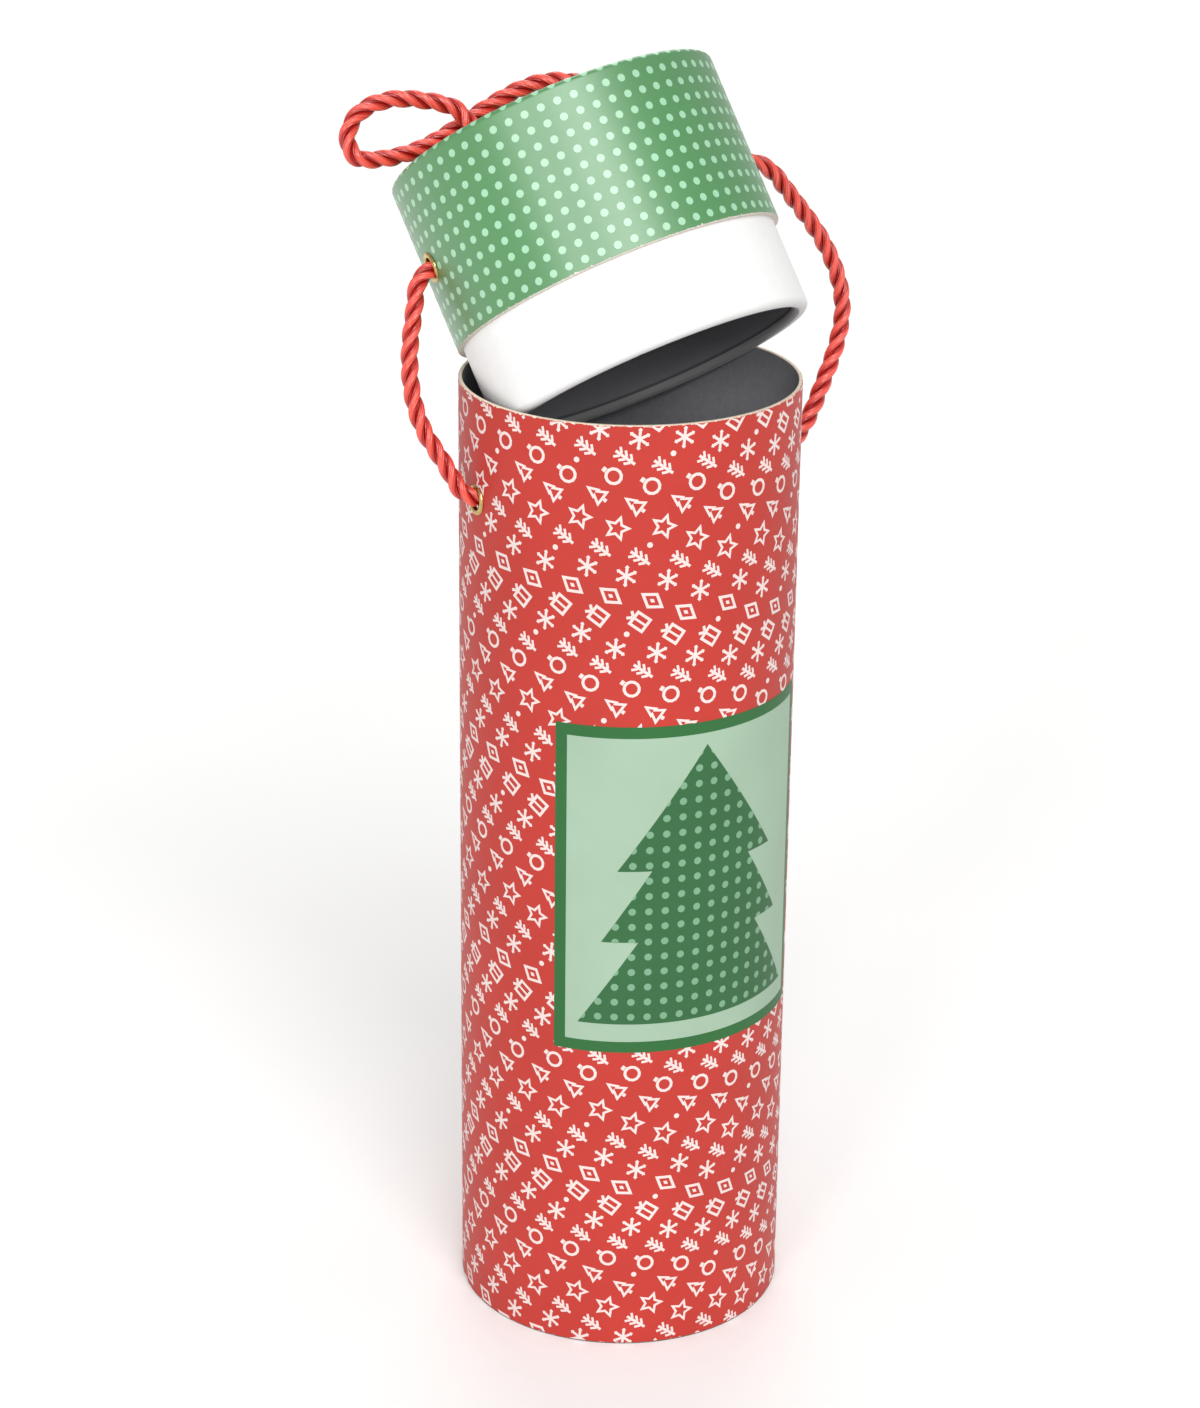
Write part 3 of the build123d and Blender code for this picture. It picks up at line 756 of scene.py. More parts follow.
class GIFTTUBE_OT_stage(bpy.types.Operator):
    """Makes the camera at the photograph's angle, the pale floor and the soft light"""

    bl_idname = "gifttube.stage"
    bl_label = "Stage"

    def execute(self, context):
        sizes = settings("gift_studio")
        self.add_camera(context, sizes)
        self.add_floor()
        self.add_light(context, sizes)
        return {"FINISHED"}

    def add_camera(self, context, sizes):
        """The camera looks along +Y, turned by yaw, then down by pitch, then tipped by roll."""
        level = Vector((sin(sizes.yaw), cos(sizes.yaw), 0))
        side = Vector((cos(sizes.yaw), -sin(sizes.yaw), 0))
        up = Vector((0, 0, 1))
        forward = level * cos(sizes.pitch) - up * sin(sizes.pitch)
        over = up * cos(sizes.pitch) + level * sin(sizes.pitch)
        right = side * cos(sizes.roll) + over * sin(sizes.roll)
        above = over * cos(sizes.roll) - side * sin(sizes.roll)
        data = bpy.data.cameras.new("camera")
        data.lens = sizes.lens
        data.sensor_width = 36.0
        data.clip_start = 0.01
        camera = bpy.data.objects.new("camera", data)
        turned = Matrix((right, above, -forward)).transposed()
        camera.matrix_world = Matrix.Translation(Vector(sizes.place)) @ turned.to_4x4()
        context.scene.collection.objects.link(camera)
        context.scene.camera = camera

    def add_floor(self):
        """A wide pale disc, given by its radius and angle, with a very slight mottle."""
        radius, sides = 12.0, 96
        mottle_mm, grain = 220.0, (2.0, 0.5)
        angle = np.linspace(0, 2 * pi, sides, endpoint=False)
        rim = np.stack([radius * np.cos(angle), radius * np.sin(angle), 0 * angle], -1)
        material, tree, at = start_material("Matt_paper_sweep")
        colour = mottled(tree, at, mottle_mm, grain, linear("#F2F2F1"), linear("#F6F6F5"))
        finish_material(material, {"Base Color": colour, "Roughness": 0.9})
        floor = build_mesh("floor", rim, [list(range(sides))], material, smooth=False)

    def add_light(self, context, sizes):
        """White surroundings and three lights.

        The lid's varnish shows the broad front light as a band. The small fill light stands
        beside the camera, and a weaker broad light behind keeps the back from going dark.
        """
        lamps = (
            ("front_light", sizes.front_light, sizes.front_width, sizes.front_height, sizes.front_aside),
            ("fill_light", sizes.fill_light, sizes.fill_width, sizes.fill_height, sizes.fill_aside),
            ("back_light", sizes.back_light, sizes.front_width, sizes.front_height, pi),
        )
        for name, energy, width, height, aside in lamps:
            data = bpy.data.lights.new(name, "SUN")
            data.energy = energy
            data.angle = width
            lamp = bpy.data.objects.new(name, data)
            lamp.rotation_euler = (pi / 2 - height, 0, aside)
            context.scene.collection.objects.link(lamp)
        context.scene.world = self.pale_room(sizes)
        context.scene.view_settings.view_transform = "Standard"

    def pale_room(self, sizes):
        """An even white room, which gives a part of the light and is seen as bright as the floor."""
        world = bpy.data.worlds.new("pale_room")
        world.use_nodes = True
        tree = world.node_tree
        tree.nodes.clear()
        seen = add_node(tree, "ShaderNodeLightPath").outputs["Is Camera Ray"]
        strength = add_node(tree, "ShaderNodeMapRange", {"Value": seen, "To Min": sizes.room_light})
        white = {"Color": linear("#FFFFFF"), "Strength": strength}
        background = add_node(tree, "ShaderNodeBackground", white)
        add_node(tree, "ShaderNodeOutputWorld", {"Surface": background})
        return world


# The pulled knot: its radius, the depth of its middle inside the wall and the weave of its lobes in
# and out, in mm, and the points of its line
KNOT_RADIUS = 4.0
KNOT_DEPTH = 4.6
KNOT_WEAVE = 1.6
KNOT_POINTS = 18
# Its tail: the depth of its root and its points along it, in mm, and its lean from straight down
TAIL_ROOT = 4.75
TAIL_STEPS = (0.0, 3.5, 7.0, 10.6)
TAIL_LEAN = radians(35.0)


class GIFTTUBE_OT_cords(bpy.types.Operator):
    """Makes the twisted cord: outer runs, handle, the runs inside the lid and the knots"""

    bl_idname = "gifttube.cords"
    bl_label = "Cords"

    def execute(self, context):
        sizes = settings("gift_cord")
        satin = satin_cord()
        self.add_runs(sizes, satin)
        self.add_handle(sizes, satin)
        self.add_inner(sizes, satin)
        return {"FINISHED"}

    def declare(self, piece, centre, exit_point, sizes, pieces=()):
        """Takes a rope's details and does nothing with them."""

    def add_knot(self, side, start, inward, sizes, satin):
        """A pulled knot as a trefoil, x = sin t + 2 sin 2t and y = cos t - 2 cos 2t, and its tail."""
        turn = np.arange(KNOT_POINTS + 2) / KNOT_POINTS * 2 * pi
        across = Vector((0, 0, 1)).cross(inward).normalized()
        up = inward.cross(across)
        local = [
            (np.sin(turn) + 2 * np.sin(2 * turn)) / 3 * KNOT_RADIUS,
            (np.cos(turn) - 2 * np.cos(2 * turn)) / 3 * KNOT_RADIUS,
            KNOT_DEPTH - np.sin(3 * turn) * KNOT_WEAVE,
        ]
        points = np.stack(local, -1) * MM @ np.array([across, up, inward]) + np.array(start)
        down = inward * sin(TAIL_LEAN) - Vector((0, 0, 1)) * cos(TAIL_LEAN)
        root = Vector(start) + inward * TAIL_ROOT * MM
        tail = [root + down * step * MM for step in TAIL_STEPS]
        knot, _ = rope(f"knot_{side}", points, np.array(inward), sizes, satin, sizes.knot_share)
        end, _ = rope(f"knot_tail_{side}", tail, np.array(across), sizes, satin, sizes.knot_share)
        for piece in (knot, end):
            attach(piece, "tube")
        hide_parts(f"cord_knot_{side}")
        return [knot, end]

    def add_runs(self, sizes, satin):
        """The two runs outside, each from a tube eyelet up to a lid eyelet.

        Each runs from the tube to the lid between the two eyelets' outer faces.
        """
        for side, points in (("left", LEFT_RUN), ("right", RIGHT_RUN)):
            points = np.array(points)
            inward = Vector(points[0] - points[1]).normalized()
            pieces = self.add_knot(side, points[0], inward, sizes, satin)
            round_the_tube = unit(np.cross((0, 0, 1), points[0] - points[1]))
            run, centre = rope(f"cord_run_{side}", points, round_the_tube, sizes, satin)
            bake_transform(run)
            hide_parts(f"cord_{side}_run")
            self.declare(run, centre, points[1], sizes, pieces)

    def add_handle(self, sizes, satin):
        """The loop over the lid's top."""
        points = in_lid(HANDLE, LID_TOP * MM)
        handle, centre = rope("handle_loop", points, np.array(lid_y), sizes, satin)
        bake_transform(handle)
        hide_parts("cord_handle")
        self.declare(handle, centre, points[0], sizes)

    def add_inner(self, sizes, satin):
        """The two stretches inside the lid."""
        for side, sign in (("left", 1), ("right", -1)):
            points = in_lid(np.array(INNER) * (sign, 1, 1))
            inner, centre = rope(f"cord_inside_{side}", points, np.array(lid_y), sizes, satin)
            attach(inner, "lid")
            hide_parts(f"cord_inner_{side}")
            self.declare(inner, centre, points[0], sizes)


# Edges that get knocked: the height in mm, which way is inwards, and the noise from which a chip starts
TUBE_EDGES = ((WRAP_TOP, -1, 1.02), (WRAP_BOTTOM, 1, 1.06))
LID_EDGES = ((0.0, 1, 0.93),)
# The lid's paper and its dots have a glossy varnish
LID_VARNISH = {"coat": 1.0, "ior": 1.7}


class GIFTTUBE_OT_finishes(bpy.types.Operator):
    """Gives each paper, board and brass piece its real material"""

    bl_idname = "gifttube.finishes"
    bl_label = "Finishes"

    def execute(self, context):
        colours = settings("gift_colours")
        red = printed_paper("Red_varnished_art_paper", colours.red_paper, edges=TUBE_EDGES)
        lid_look = {"edges": LID_EDGES, "leaning": True, **LID_VARNISH}
        green = printed_paper("Green_varnished_art_paper", colours.green_paper, **lid_look)
        # The white paper is greyed with painted shade where it rounds the neck's lip
        coated = {"rough": 0.5, "tooth_mm": 0.9, "depth_mm": 0.004, "lip_shade_hex": "#CBCBCA"}
        white = plain_paper("White_coated_paper", "#E4E4E3", "#E8E8E7", **coated)
        lining = {"rough": 0.72, "tooth_mm": LINING_TOOTH, "depth_mm": 0.03}
        dark = plain_paper("Dark_grey_lining_paper", LINING_DARK, LINING_LIGHT, **lining)
        plain = {"rough": 0.85, "tooth_mm": 0.5, "depth_mm": 0.03}
        grey = plain_paper("Plain_grey_paper", "#6E6E6C", "#7C7C7A", **plain)
        # The tube's board gets painted shade at its foot
        kraft = bare_board("Tube_board_cut_edge", "#D3C0A6", "#F0E4D2", foot_shade_hex="#57504C")
        pulp = bare_board("Lid_board_cut_edge", "#B0A89D", "#D8D0C6")
        brass = stamped_brass()
        finishes = {
            red: ["tube_wrap"],
            green: ["lid_wrap", "lid_top_paper"],
            white: ["neck_cover"],
            dark: ["tube_lining", "base_lining", "lid_ceiling_paper"],
            sleeve_lining(): ["neck_lining"],
            grey: ["base_foot_paper"],
            kraft: ["tube_wall", "base_board"],
            pulp: ["lid_wall", "lid_top_board", "neck_sleeve"],
            brass: [
                f"{place}_{kind}_{side}"
                for place in ("tube", "lid", "top")
                for kind in ("eyelet", "washer")
                for side in ("left", "right")
            ],
        }
        for material, names in finishes.items():
            for name in names:
                slots = frame["nodes"][name].data.materials
                slots.clear()
                slots.append(material)
        return {"FINISHED"}


# Thickness of a film of ink, drawn thick enough to be a solid, in mm
INK_DEPTH = 0.04


def lay_ink(name, surface, flat, faces, lift, ink, body, slot):
    """A film of ink on a surface, from flat points and the faces between them."""
    outer = surface(flat[:, 0], flat[:, 1], lift)
    inner = surface(flat[:, 0], flat[:, 1], lift - INK_DEPTH)
    piece = film(name, outer, inner, faces, ink)
    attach(piece, body)


def facing_out(quads):
    """Quads with their corners in counter-clockwise order, so that they face outwards."""
    x, y = quads[..., 0], quads[..., 1]
    area = (x * np.roll(y, -1, -1) - y * np.roll(x, -1, -1)).sum(-1)
    return np.where(area[:, None, None] < 0, quads[:, ::-1], quads)


def merged(quads):
    """Quads as flat points, shared where corners meet, and faces that haven't shrunk to a line."""
    flat, index = np.unique(np.round(quads.reshape(-1, 2), 3), axis=0, return_inverse=True)
    faces = index.reshape(-1, 4)
    ordered = np.sort(faces, 1)
    return flat, faces[(ordered[:, 1:] != ordered[:, :-1]).all(1)]


# Sharpest mitre of a stroke, as the cosine of half its turn
MITRE_LIMIT = 0.45


def strip(points, width, closed=False):
    """Quads of a stroke along points, with mitred corners: each point moves aside by half the width."""
    points = np.array(points, float)
    if closed:
        before, after = np.roll(points, 1, 0), np.roll(points, -1, 0)
    else:
        before = np.concatenate([2 * points[:1] - points[1:2], points[:-1]])
        after = np.concatenate([points[1:], 2 * points[-1:] - points[-2:-1]])
    into, out = unit(points - before), unit(after - points)
    normal = unit(np.stack([-(into + out)[:, 1], (into + out)[:, 0]], -1))
    square = np.stack([-into[:, 1], into[:, 0]], -1)
    reach = width / 2 / np.maximum((normal * square).sum(1), MITRE_LIMIT)
    left, right = points + normal * reach[:, None], points - normal * reach[:, None]
    quads = np.stack([right, np.roll(right, -1, 0), np.roll(left, -1, 0), left], 1)
    return quads if closed else quads[:-1]


# A mark is drawn round its middle, in shares of its height; these are the widths of its strokes and
# the longest stretch without a point
STROKE_SHARE = 0.13
THIN_STROKE_SHARE = STROKE_SHARE * 0.85
THICK_STROKE_SHARE = STROKE_SHARE * 1.3
STRETCH_SHARE = 0.45


def outline(corners, width=STROKE_SHARE, closed=True):
    """A stroke along corners, with more points where two are further apart than the longest stretch."""
    corners = np.array(corners, float)
    ends = np.roll(corners, -1, 0) if closed else corners[1:]
    points = []
    for start, end in zip(corners, ends):
        count = max(int(np.ceil(np.linalg.norm(end - start) / STRETCH_SHARE)), 1)
        points.append(start + np.arange(count)[:, None] / count * (end - start))
    if not closed:
        points.append(corners[-1:])
    return strip(np.concatenate(points), width, closed)


def polar(radius, degrees_from_up):
    """A point at a radius and a clockwise angle from straight up."""
    angle = np.radians(degrees_from_up)
    return np.stack([radius * np.sin(angle), radius * np.cos(angle)], -1)


def mirrored(quads):
    """The quads and their mirror image across the mark's upright middle."""
    return np.concatenate([quads, quads * (-1, 1)])


def snowflake():
    """Six arms from the sides of a small hexagon, each with a diamond at its end."""
    arms, turn = 6, 60.0
    half, hub_share = STROKE_SHARE / 2, STROKE_SHARE * 0.9
    arm_end_share, tip_share, tip_half_share = 0.3, 0.5, 0.1
    hexagon = polar(hub_share, turn * np.arange(arms) - turn / 2)
    quads = [hexagon[[0, 1, 2, 3]], hexagon[[0, 3, 4, 5]]]
    middle = (arm_end_share + tip_share) / 2
    for arm in range(arms):
        out, aside = polar(1.0, turn * arm), polar(1.0, turn * arm + 90.0)
        end = out * (arm_end_share + half * 0.6)
        foot = (hexagon[arm], hexagon[(arm + 1) % arms])
        quads.append(np.array([*foot, end + aside * half, end - aside * half]))
        sides = (out * tip_share, out * middle + aside * tip_half_share)
        quads.append(np.array([*sides, out * arm_end_share, out * middle - aside * tip_half_share]))
    return np.array(quads)


def star():
    """A five-pointed star drawn as an outline."""
    corner = np.arange(10)
    reach = np.where(corner % 2 == 0, 0.5, 0.24)
    return outline(polar(1.0, 36.0 * corner) * reach[:, None], THIN_STROKE_SHARE)


def bauble():
    """A ring with a small cap."""
    centre = np.array([0.0, -0.09])
    ring = centre + polar(0.33, 30.0 * np.arange(12) + 15.0)
    return np.concatenate([outline(ring), strip([(-0.11, 0.4), (0.11, 0.4)], THICK_STROKE_SHARE)])


def little_fir():
    """The outline of a fir of two tiers on a short trunk."""
    half = np.array([(0.19, 0.06), (0.11, 0.06), (0.33, -0.29)])
    corners = [(0.0, 0.46), *half, *(half[::-1] * (-1, 1))]
    trunk = strip([(0.0, -0.36), (0.0, -0.5)], THICK_STROKE_SHARE)
    return np.concatenate([outline(corners, THIN_STROKE_SHARE), trunk])


def gift():
    """A square parcel with an upright ribbon and a bow."""
    side = 0.32
    centre = np.array([0.0, -0.13])
    corners = centre + np.array([(-side, -side), (side, -side), (side, side), (-side, side)])
    inside = side - STROKE_SHARE / 2
    ribbon = outline([centre - (0, inside), centre + (0, inside)], STROKE_SHARE * 0.8, closed=False)
    knot = centre + (0, side + STROKE_SHARE * 0.5)
    bow = mirrored(strip([knot + (0.03, 0), knot + (0.2, 0.19)], STROKE_SHARE))
    return np.concatenate([outline(corners), ribbon, bow])


def sprig():
    """A stem with three pairs of needles."""
    quads = [outline([(0, -0.5), (0, 0.5)], closed=False)]
    for foot in (-0.3, -0.03, 0.24):
        start = np.array([STROKE_SHARE / 2, foot])
        quads.append(mirrored(strip([start, start + (0.2, 0.2)], THIN_STROKE_SHARE)))
    return np.concatenate(quads)


def diamond():
    """A diamond's outline round a small diamond."""
    corners = np.array([(0, 0.5), (0.34, 0), (0, -0.5), (-0.34, 0)])
    return np.concatenate([outline(corners), corners[None] * 0.28])


def bullet():
    """A round dot, as three quads across an eight-sided ring."""
    corners = polar(0.13, 45.0 * np.arange(8))
    return np.stack([corners[[0, 7, 6, 5]], corners[[0, 5, 4, 1]], corners[[1, 4, 3, 2]]])


# Narrowest end of a slice of a dot, in mm
NARROWEST = 0.03


def sliced_dot(dots):
    """A round dot as slices across it, x = r sin t and y = -r cos t, which can bend round an edge."""
    turn = np.linspace(0, pi, dots.slices + 1)
    half = np.maximum(dots.diameter / 2 * np.sin(turn), NARROWEST)
    left, right = (np.stack([side * half, -dots.diameter / 2 * np.cos(turn)], -1) for side in (-1, 1))
    return np.stack([left[:-1], right[:-1], right[1:], left[1:]], 1)


def stamped(centres, shape):
    """The quads of a flat shape, repeated round each centre."""
    return (centres[:, None, None] + shape).reshape(-1, 4, 2)


def crossings(columns, rows):
    """Each flat point where a column meets a row."""
    return np.stack([grid.ravel() for grid in np.meshgrid(columns, rows)], -1)


# Marks in the order of one group along a row; a bullet ends the group
MARK_SHAPES = {
    "snowflake": snowflake,
    "sprig": sprig,
    "star": star,
    "little_fir": little_fir,
    "bauble": bauble,
    "gift": gift,
    "diamond": diamond,
    "bullet": bullet,
}
GROUP_ORDER = ("snowflake", "sprig", "star", "little_fir", "bauble", "sprig", "snowflake", "gift", "diamond")
ROW_SHIFT_SHARE = 0.37
MARKS_TURNED_PER_ROW = 4


class GIFTTUBE_OT_wrap_print(bpy.types.Operator):
    """Prints slanting rows of small white winter marks on the tube's red wrap"""

    bl_idname = "gifttube.wrap_print"
    bl_label = "Wrap print"

    def execute(self, context):
        sizes = settings("gift_print")
        ink = printed_paper("White_offset_ink", settings("gift_colours").white_ink)
        along = np.array([cos(sizes.row_angle), sin(sizes.row_angle)])
        across = np.array([-along[1], along[0]])
        shapes = {name: facing_out(shape()) * sizes.mark_height for name, shape in MARK_SHAPES.items()}
        for name, centres in self.lay_out(sizes, shapes, along, across).items():
            turned = shapes[name][..., :1] * along + shapes[name][..., 1:] * across
            flat, faces = merged(self.cut_to_wrap(stamped(centres, turned)))
            lay_ink(f"marks_{name}", on_tube, flat, faces, sizes.ink_lift, ink, "tube", "red_print_paper")
        return {"FINISHED"}

    def lay_out(self, sizes, shapes, along, across):
        """The centres of each mark on the unrolled wrap, by its name.

        Along a row the marks stand one gap apart, whatever their widths. Each row starts further
        along and further round the order than the one before it.
        """
        widths = {name: np.ptp(shape[..., 0]) for name, shape in shapes.items()}
        group = sum(widths[name] + sizes.mark_gap for name in (*GROUP_ORDER, "bullet"))
        furthest = TUBE_GIRTH / 2 + WRAP_TOP
        rows, groups = int(furthest / sizes.row_pitch), int(furthest / group) + 2
        centres = {name: [] for name in shapes}
        for row in range(-rows, rows + 1):
            turn = MARKS_TURNED_PER_ROW * row % len(GROUP_ORDER)
            step = row * ROW_SHIFT_SHARE % 1.0 * group
            for name in (*GROUP_ORDER[turn:], *GROUP_ORDER[:turn], "bullet"):
                steps = step + widths[name] / 2 + group * np.arange(-groups, groups + 1)
                centres[name].append(steps[:, None] * along + row * sizes.row_pitch * across)
                step += widths[name] + sizes.mark_gap
        return {name: np.concatenate(places) for name, places in centres.items()}

    def cut_to_wrap(self, quads):
        """The quads that show, with corners past the wrap's edges or its seam drawn back to them."""
        margin = 0.05
        low = np.array([-TUBE_GIRTH / 2, WRAP_BOTTOM]) + margin
        high = np.array([TUBE_GIRTH / 2, WRAP_TOP]) - margin
        on_wrap = ((quads.max(1) > low + 2 * margin) & (quads.min(1) < high - 2 * margin)).all(1)
        label = settings("gift_label")
        under = (quads > (label.left, label.bottom)) & (quads < (label.right, label.top))
        return np.clip(quads[on_wrap & ~under.all((1, 2))], low, high)


def surface_grid(arcs, heights):
    """A rectangle of an unrolled surface as a grid of flat points and its quads."""
    arc, height = np.meshgrid(arcs, heights)
    corner = np.arange((len(heights) - 1) * len(arcs)).reshape(-1, len(arcs))[:, :-1]
    faces = np.stack([corner, corner + 1, corner + len(arcs) + 1, corner + len(arcs)], -1)
    return np.stack([arc.ravel(), height.ravel()], -1), faces.reshape(-1, 4)


def panel_grid(left, right, bottom, top, step=1.6):
    """A rectangle of the unrolled wrap in narrow columns that bend round the tube."""
    arcs = np.linspace(left, right, int(np.ceil((right - left) / step)) + 1)
    heights = np.linspace(bottom, top, int(np.ceil((top - bottom) / (4 * step))) + 1)
    return surface_grid(arcs, heights)


def joined(parts):
    """Several pairs of points and faces as one."""
    points, faces, start = [], [], 0
    for place, corners in parts:
        points.append(place)
        faces.append(corners + start)
        start += len(place)
    return np.concatenate(points), np.concatenate(faces)


# The fir's tiers as shares: foot height and half width of each tier, and half width where it starts
FIR_TIER_SHARES = ((0.565, 0.70, 0.0), (0.305, 0.82, 0.43), (0.0, 1.0, 0.53))
# Grid of each tier, and the half width of the fir's tip, in mm
FIR_TIER_ROWS = 12
FIR_TIER_COLUMNS = 41
FIR_TIP = 0.02
# Columns and rows of dots that cover the whole fir
FIR_DOT_COLUMNS = 18
FIR_DOT_ROWS = 19


def fir_half_width(height, sizes):
    """Half the fir's width at each height, from the lowest tier whose foot is below it."""
    share = (height - sizes.fir_foot) / (sizes.fir_top - sizes.fir_foot)
    width = np.zeros_like(share)
    head = 1.0
    for foot, wide, narrow in FIR_TIER_SHARES:
        within = (share >= foot) & (share <= head)
        slope = (head - share) / (head - foot)
        width = np.where(within, narrow + slope * (wide - narrow), width)
        head = foot
    return width * sizes.fir_half_width


class GIFTTUBE_OT_label(bpy.types.Operator):
    """Prints the green-bordered panel with a dotted fir on the tube"""

    bl_idname = "gifttube.label"
    bl_label = "Label"

    def execute(self, context):
        sizes, colours = settings("gift_label"), settings("gift_colours")
        self.base = settings("gift_print").ink_lift
        self.add_panel(sizes, colours)
        self.add_fir(sizes, colours)
        self.add_dots(sizes, settings("gift_dots"), colours)
        return {"FINISHED"}

    def lay(self, name, flat, faces, layer, ink):
        """One printed layer of the label, higher over the wrap the later it was printed."""
        lift = self.base + layer * settings("gift_label").lift
        lay_ink(name, on_tube, flat, faces, lift, ink, "tube", "green_print_paper")

    def add_panel(self, sizes, colours):
        """The border is four strips round the pale panel, all in one layer."""
        left, right, bottom, top, edge = sizes.left, sizes.right, sizes.bottom, sizes.top, sizes.border
        strips = [
            panel_grid(left, right, bottom, bottom + edge),
            panel_grid(left, right, top - edge, top),
            panel_grid(left, left + edge, bottom + edge, top - edge),
            panel_grid(right - edge, right, bottom + edge, top - edge),
        ]
        self.lay("label_border", *joined(strips), 1, printed_paper("Fir_green_ink", colours.border))
        panel = panel_grid(left + edge, right - edge, bottom + edge, top - edge)
        self.lay("label_panel", *panel, 1, printed_paper("Mint_ink", colours.mint))

    def add_fir(self, sizes, colours):
        """Three tiers, each a grid across the fir from its left outline to its right one."""
        rows, columns = FIR_TIER_ROWS, FIR_TIER_COLUMNS
        down, across = np.meshgrid(np.linspace(0, 1, rows), np.linspace(-1, 1, columns), indexing="ij")
        corner = np.arange((rows - 1) * columns).reshape(rows - 1, columns)[:, :-1]
        faces = np.stack([corner, corner + columns, corner + columns + 1, corner + 1], -1).reshape(-1, 4)
        centre = (sizes.left + sizes.right) / 2
        parts = []
        head = 1.0
        for foot, wide, narrow in FIR_TIER_SHARES:
            half = np.maximum((narrow + down * (wide - narrow)) * sizes.fir_half_width, FIR_TIP)
            height = sizes.fir_foot + (head + down * (foot - head)) * (sizes.fir_top - sizes.fir_foot)
            parts.append((np.stack([(centre + across * half).ravel(), height.ravel()], -1), faces))
            head = foot
        self.lay("label_fir", *joined(parts), 2, printed_paper("Deep_green_ink", colours.fir))

    def add_dots(self, sizes, dots, colours):
        """A square grid of dots, cut at the fir's outline."""
        columns = (np.arange(-FIR_DOT_COLUMNS // 2, FIR_DOT_COLUMNS // 2) + 0.5) * dots.pitch
        rows = sizes.fir_foot + dots.pitch * (np.arange(FIR_DOT_ROWS) + 0.5)
        quads = stamped(crossings(columns, rows), sliced_dot(dots))
        limit = fir_half_width(quads[..., 1], sizes)
        quads[..., 0] = np.clip(quads[..., 0], -limit, limit)
        widths = quads[:, 1:3, 0] - quads[:, [0, 3], 0]
        inside = widths.max(1) > 2 * NARROWEST
        quads, widths = quads[inside], widths[inside]
        quads[:, 1:3, 0] += np.maximum(NARROWEST - widths, 0)
        quads[..., 0] += (sizes.left + sizes.right) / 2
        self.lay("label_dots", *merged(quads), 3, printed_paper("Light_green_ink", colours.fir_dots))


# Rows of dots up the lid's wall, and columns of dots on its top to each side of the middle one
LID_DOT_ROWS = 11
TOP_DOT_STEPS = 10


class GIFTTUBE_OT_lid_dots(bpy.types.Operator):
    """Prints the square grid of pale dots round the lid and over its top"""

    bl_idname = "gifttube.lid_dots"
    bl_label = "Lid dots"

    def execute(self, context):
        dots = settings("gift_dots")
        pale = printed_paper("Pale_green_ink", settings("gift_colours").lid_dots, **LID_VARNISH)
        self.add_wall_dots(dots, pale)
        self.add_top_dots(dots, pale)
        return {"FINISHED"}

    def add_wall_dots(self, dots, ink):
        """Rows up the wall and over its round edge, with a whole number of columns round it.

        A dot is left out unless its middle clears a side eyelet's flange by a fifth of its width.
        """
        count = round(TUBE_GIRTH / dots.pitch)
        columns = dots.first_column + (np.arange(count) - count // 2) * TUBE_GIRTH / count
        rows = dots.first_row + dots.lid_row_pitch * np.arange(LID_DOT_ROWS)
        centres = crossings(columns, rows)
        from_eyelet = np.hypot(np.abs(centres[:, 0]) - TUBE_GIRTH / 4, centres[:, 1] - LID_EYELET_HEIGHT)
        centres = centres[from_eyelet > LID_FLANGE_RADIUS + dots.diameter * 0.2]
        quads = stamped(centres, sliced_dot(dots))
        lay_ink("lid_side_dots", on_lid, *merged(quads), dots.lift, ink, "lid", "green_print_paper")

    def add_top_dots(self, dots, ink):
        """The same grid on the flat top paper, clear of the handle's eyelets."""
        reach = TUBE_RADIUS - LID_EDGE_ROUND - TOP_PAPER_INSET
        steps = np.arange(-TOP_DOT_STEPS, TOP_DOT_STEPS + 1) * dots.pitch
        centres = crossings(steps, steps)
        x, y = centres.T
        from_eyelet = np.hypot(np.abs(x) - TOP_EYELET_OFFSET, y)
        on_paper = np.hypot(x, y) < reach - dots.diameter / 2
        clear = from_eyelet > TOP_FLANGE_RADIUS + dots.diameter / 2
        quads = stamped(centres[on_paper & clear], sliced_dot(dots))
        lay_ink("lid_top_dots", on_lid_top, *merged(quads), dots.lift, ink, "lid", "green_print_paper")


# A seam's height over the wrap and its width, in mm, and its rows up the tube, the lid and its edge
SEAM_LIFT = 0.12
SEAM_WIDTH = 0.3
TUBE_SEAM_ROWS = 12
LID_SEAM_ROWS = 6
EDGE_SEAM_ROWS = 9


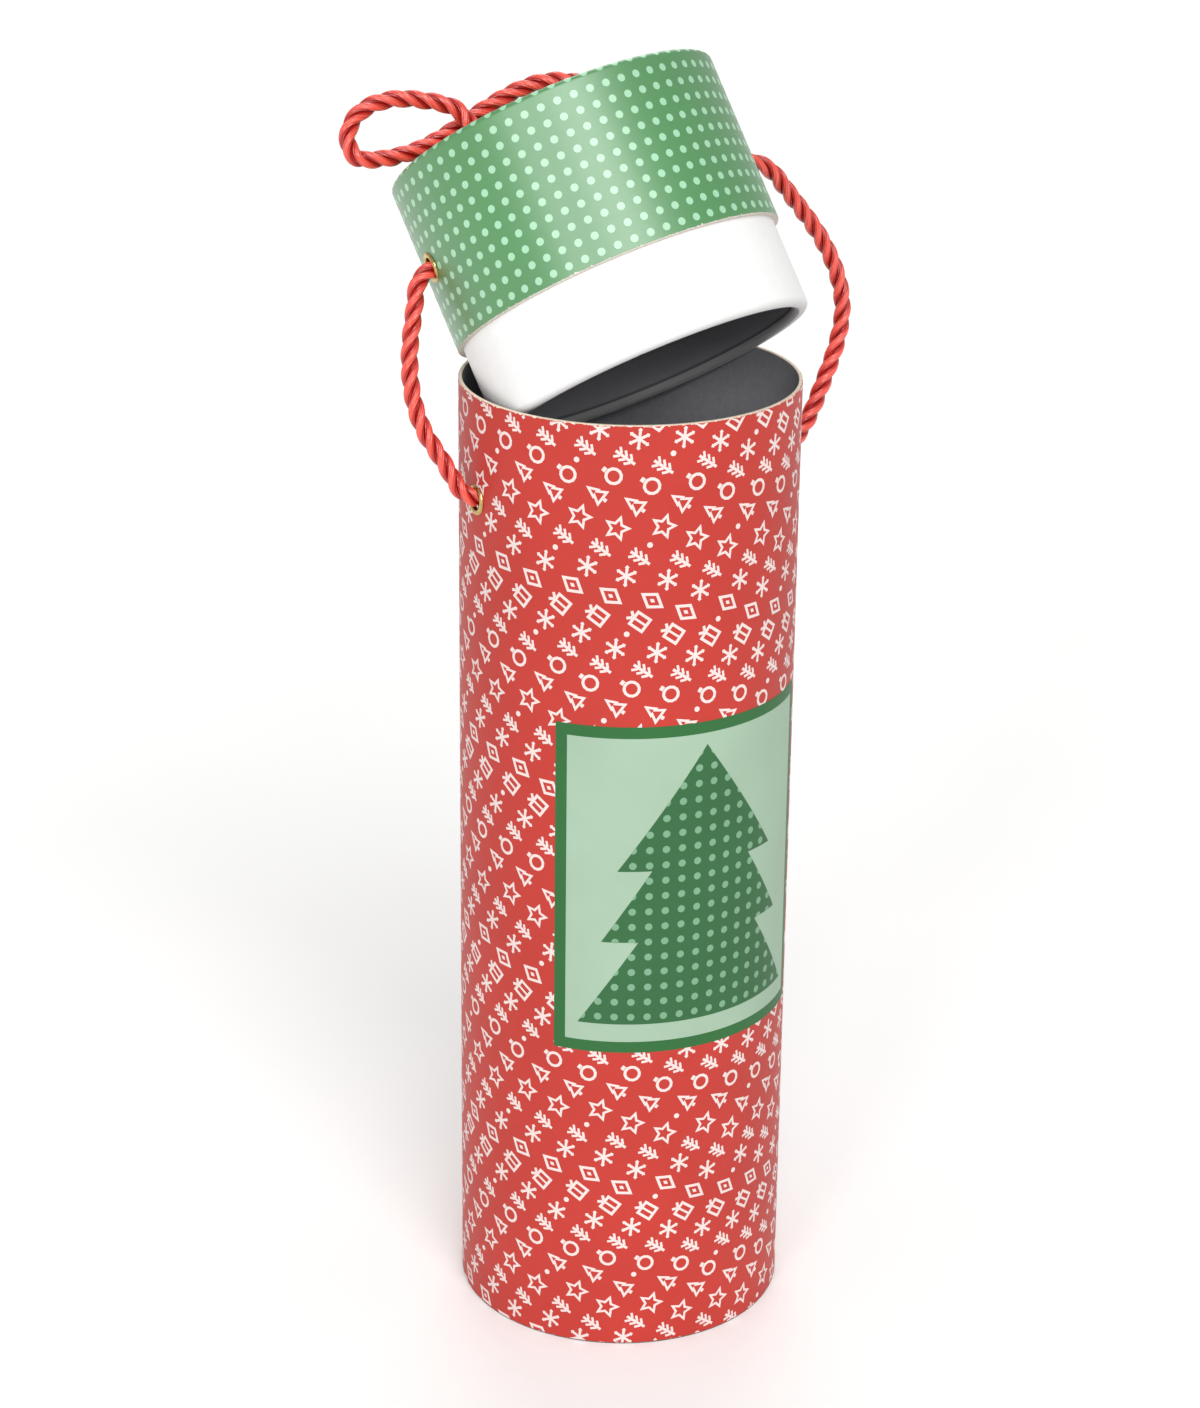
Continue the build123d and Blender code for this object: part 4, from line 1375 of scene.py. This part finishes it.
class GIFTTUBE_OT_seams(bpy.types.Operator):
    """Shows the cut edge of each wrap where it overlaps itself at the back"""

    bl_idname = "gifttube.seams"
    bl_label = "Seams"

    def execute(self, context):
        cut = {"rough": 0.8, "tooth_mm": 0.5, "depth_mm": 0.02}
        core = plain_paper("Cut_paper_edge", "#D8C9C0", "#E6DBD3", **cut)
        arcs = np.array([TUBE_GIRTH / 2 - SEAM_WIDTH, TUBE_GIRTH / 2])
        tube = surface_grid(arcs, np.linspace(WRAP_BOTTOM, WRAP_TOP, TUBE_SEAM_ROWS))
        lay_ink("wrap_seam", on_tube, *tube, SEAM_LIFT, core, "tube", "red_print_paper")
        wall = LID_HEIGHT - LID_EDGE_ROUND
        edge = wall + np.linspace(0, LID_EDGE_ROUND * pi / 2, EDGE_SEAM_ROWS)
        lid = surface_grid(arcs, np.concatenate([np.linspace(0.1, wall, LID_SEAM_ROWS)[:-1], edge]))
        lay_ink("lid_seam", on_lid, *lid, SEAM_LIFT, core, "lid", "green_print_paper")
        return {"FINISHED"}


class GIFTTUBE_PT_panel(bpy.types.Panel):
    """Lists the gift tube's sizes and steps in the sidebar"""

    bl_label = "Gift Tube Box"
    bl_idname = "GIFTTUBE_PT_panel"
    bl_space_type = "VIEW_3D"
    bl_region_type = "UI"
    bl_category = "Gift Tube"

    def draw(self, context):
        for group in GROUPS:
            box = self.layout.box()
            for name in group.__annotations__:
                box.prop(getattr(context.scene, GROUPS[group]), name)
        for step in STEPS:
            self.layout.operator(step.bl_idname)


GROUPS = {
    CordSizes: "gift_cord",
    PrintSizes: "gift_print",
    LabelSizes: "gift_label",
    DotSizes: "gift_dots",
    PrintColours: "gift_colours",
    StudioSizes: "gift_studio",
}
STEPS = (
    GIFTTUBE_OT_stage,
    GIFTTUBE_OT_cords,
    GIFTTUBE_OT_finishes,
    GIFTTUBE_OT_wrap_print,
    GIFTTUBE_OT_label,
    GIFTTUBE_OT_lid_dots,
    GIFTTUBE_OT_seams,
)


def register():
    for group, name in GROUPS.items():
        bpy.utils.register_class(group)
        setattr(bpy.types.Scene, name, bpy.props.PointerProperty(type=group))
    for kind in (*STEPS, GIFTTUBE_PT_panel):
        bpy.utils.register_class(kind)


def unregister():
    for kind in (GIFTTUBE_PT_panel, *reversed(STEPS)):
        bpy.utils.unregister_class(kind)
    for group, name in GROUPS.items():
        delattr(bpy.types.Scene, name)
        bpy.utils.unregister_class(group)


def main():
    register()
    bpy.ops.gifttube.stage()
    bpy.ops.gifttube.cords()
    bpy.ops.gifttube.finishes()
    bpy.ops.gifttube.wrap_print()
    bpy.ops.gifttube.label()
    bpy.ops.gifttube.lid_dots()
    bpy.ops.gifttube.seams()


if __name__ == "__main__":
    main()
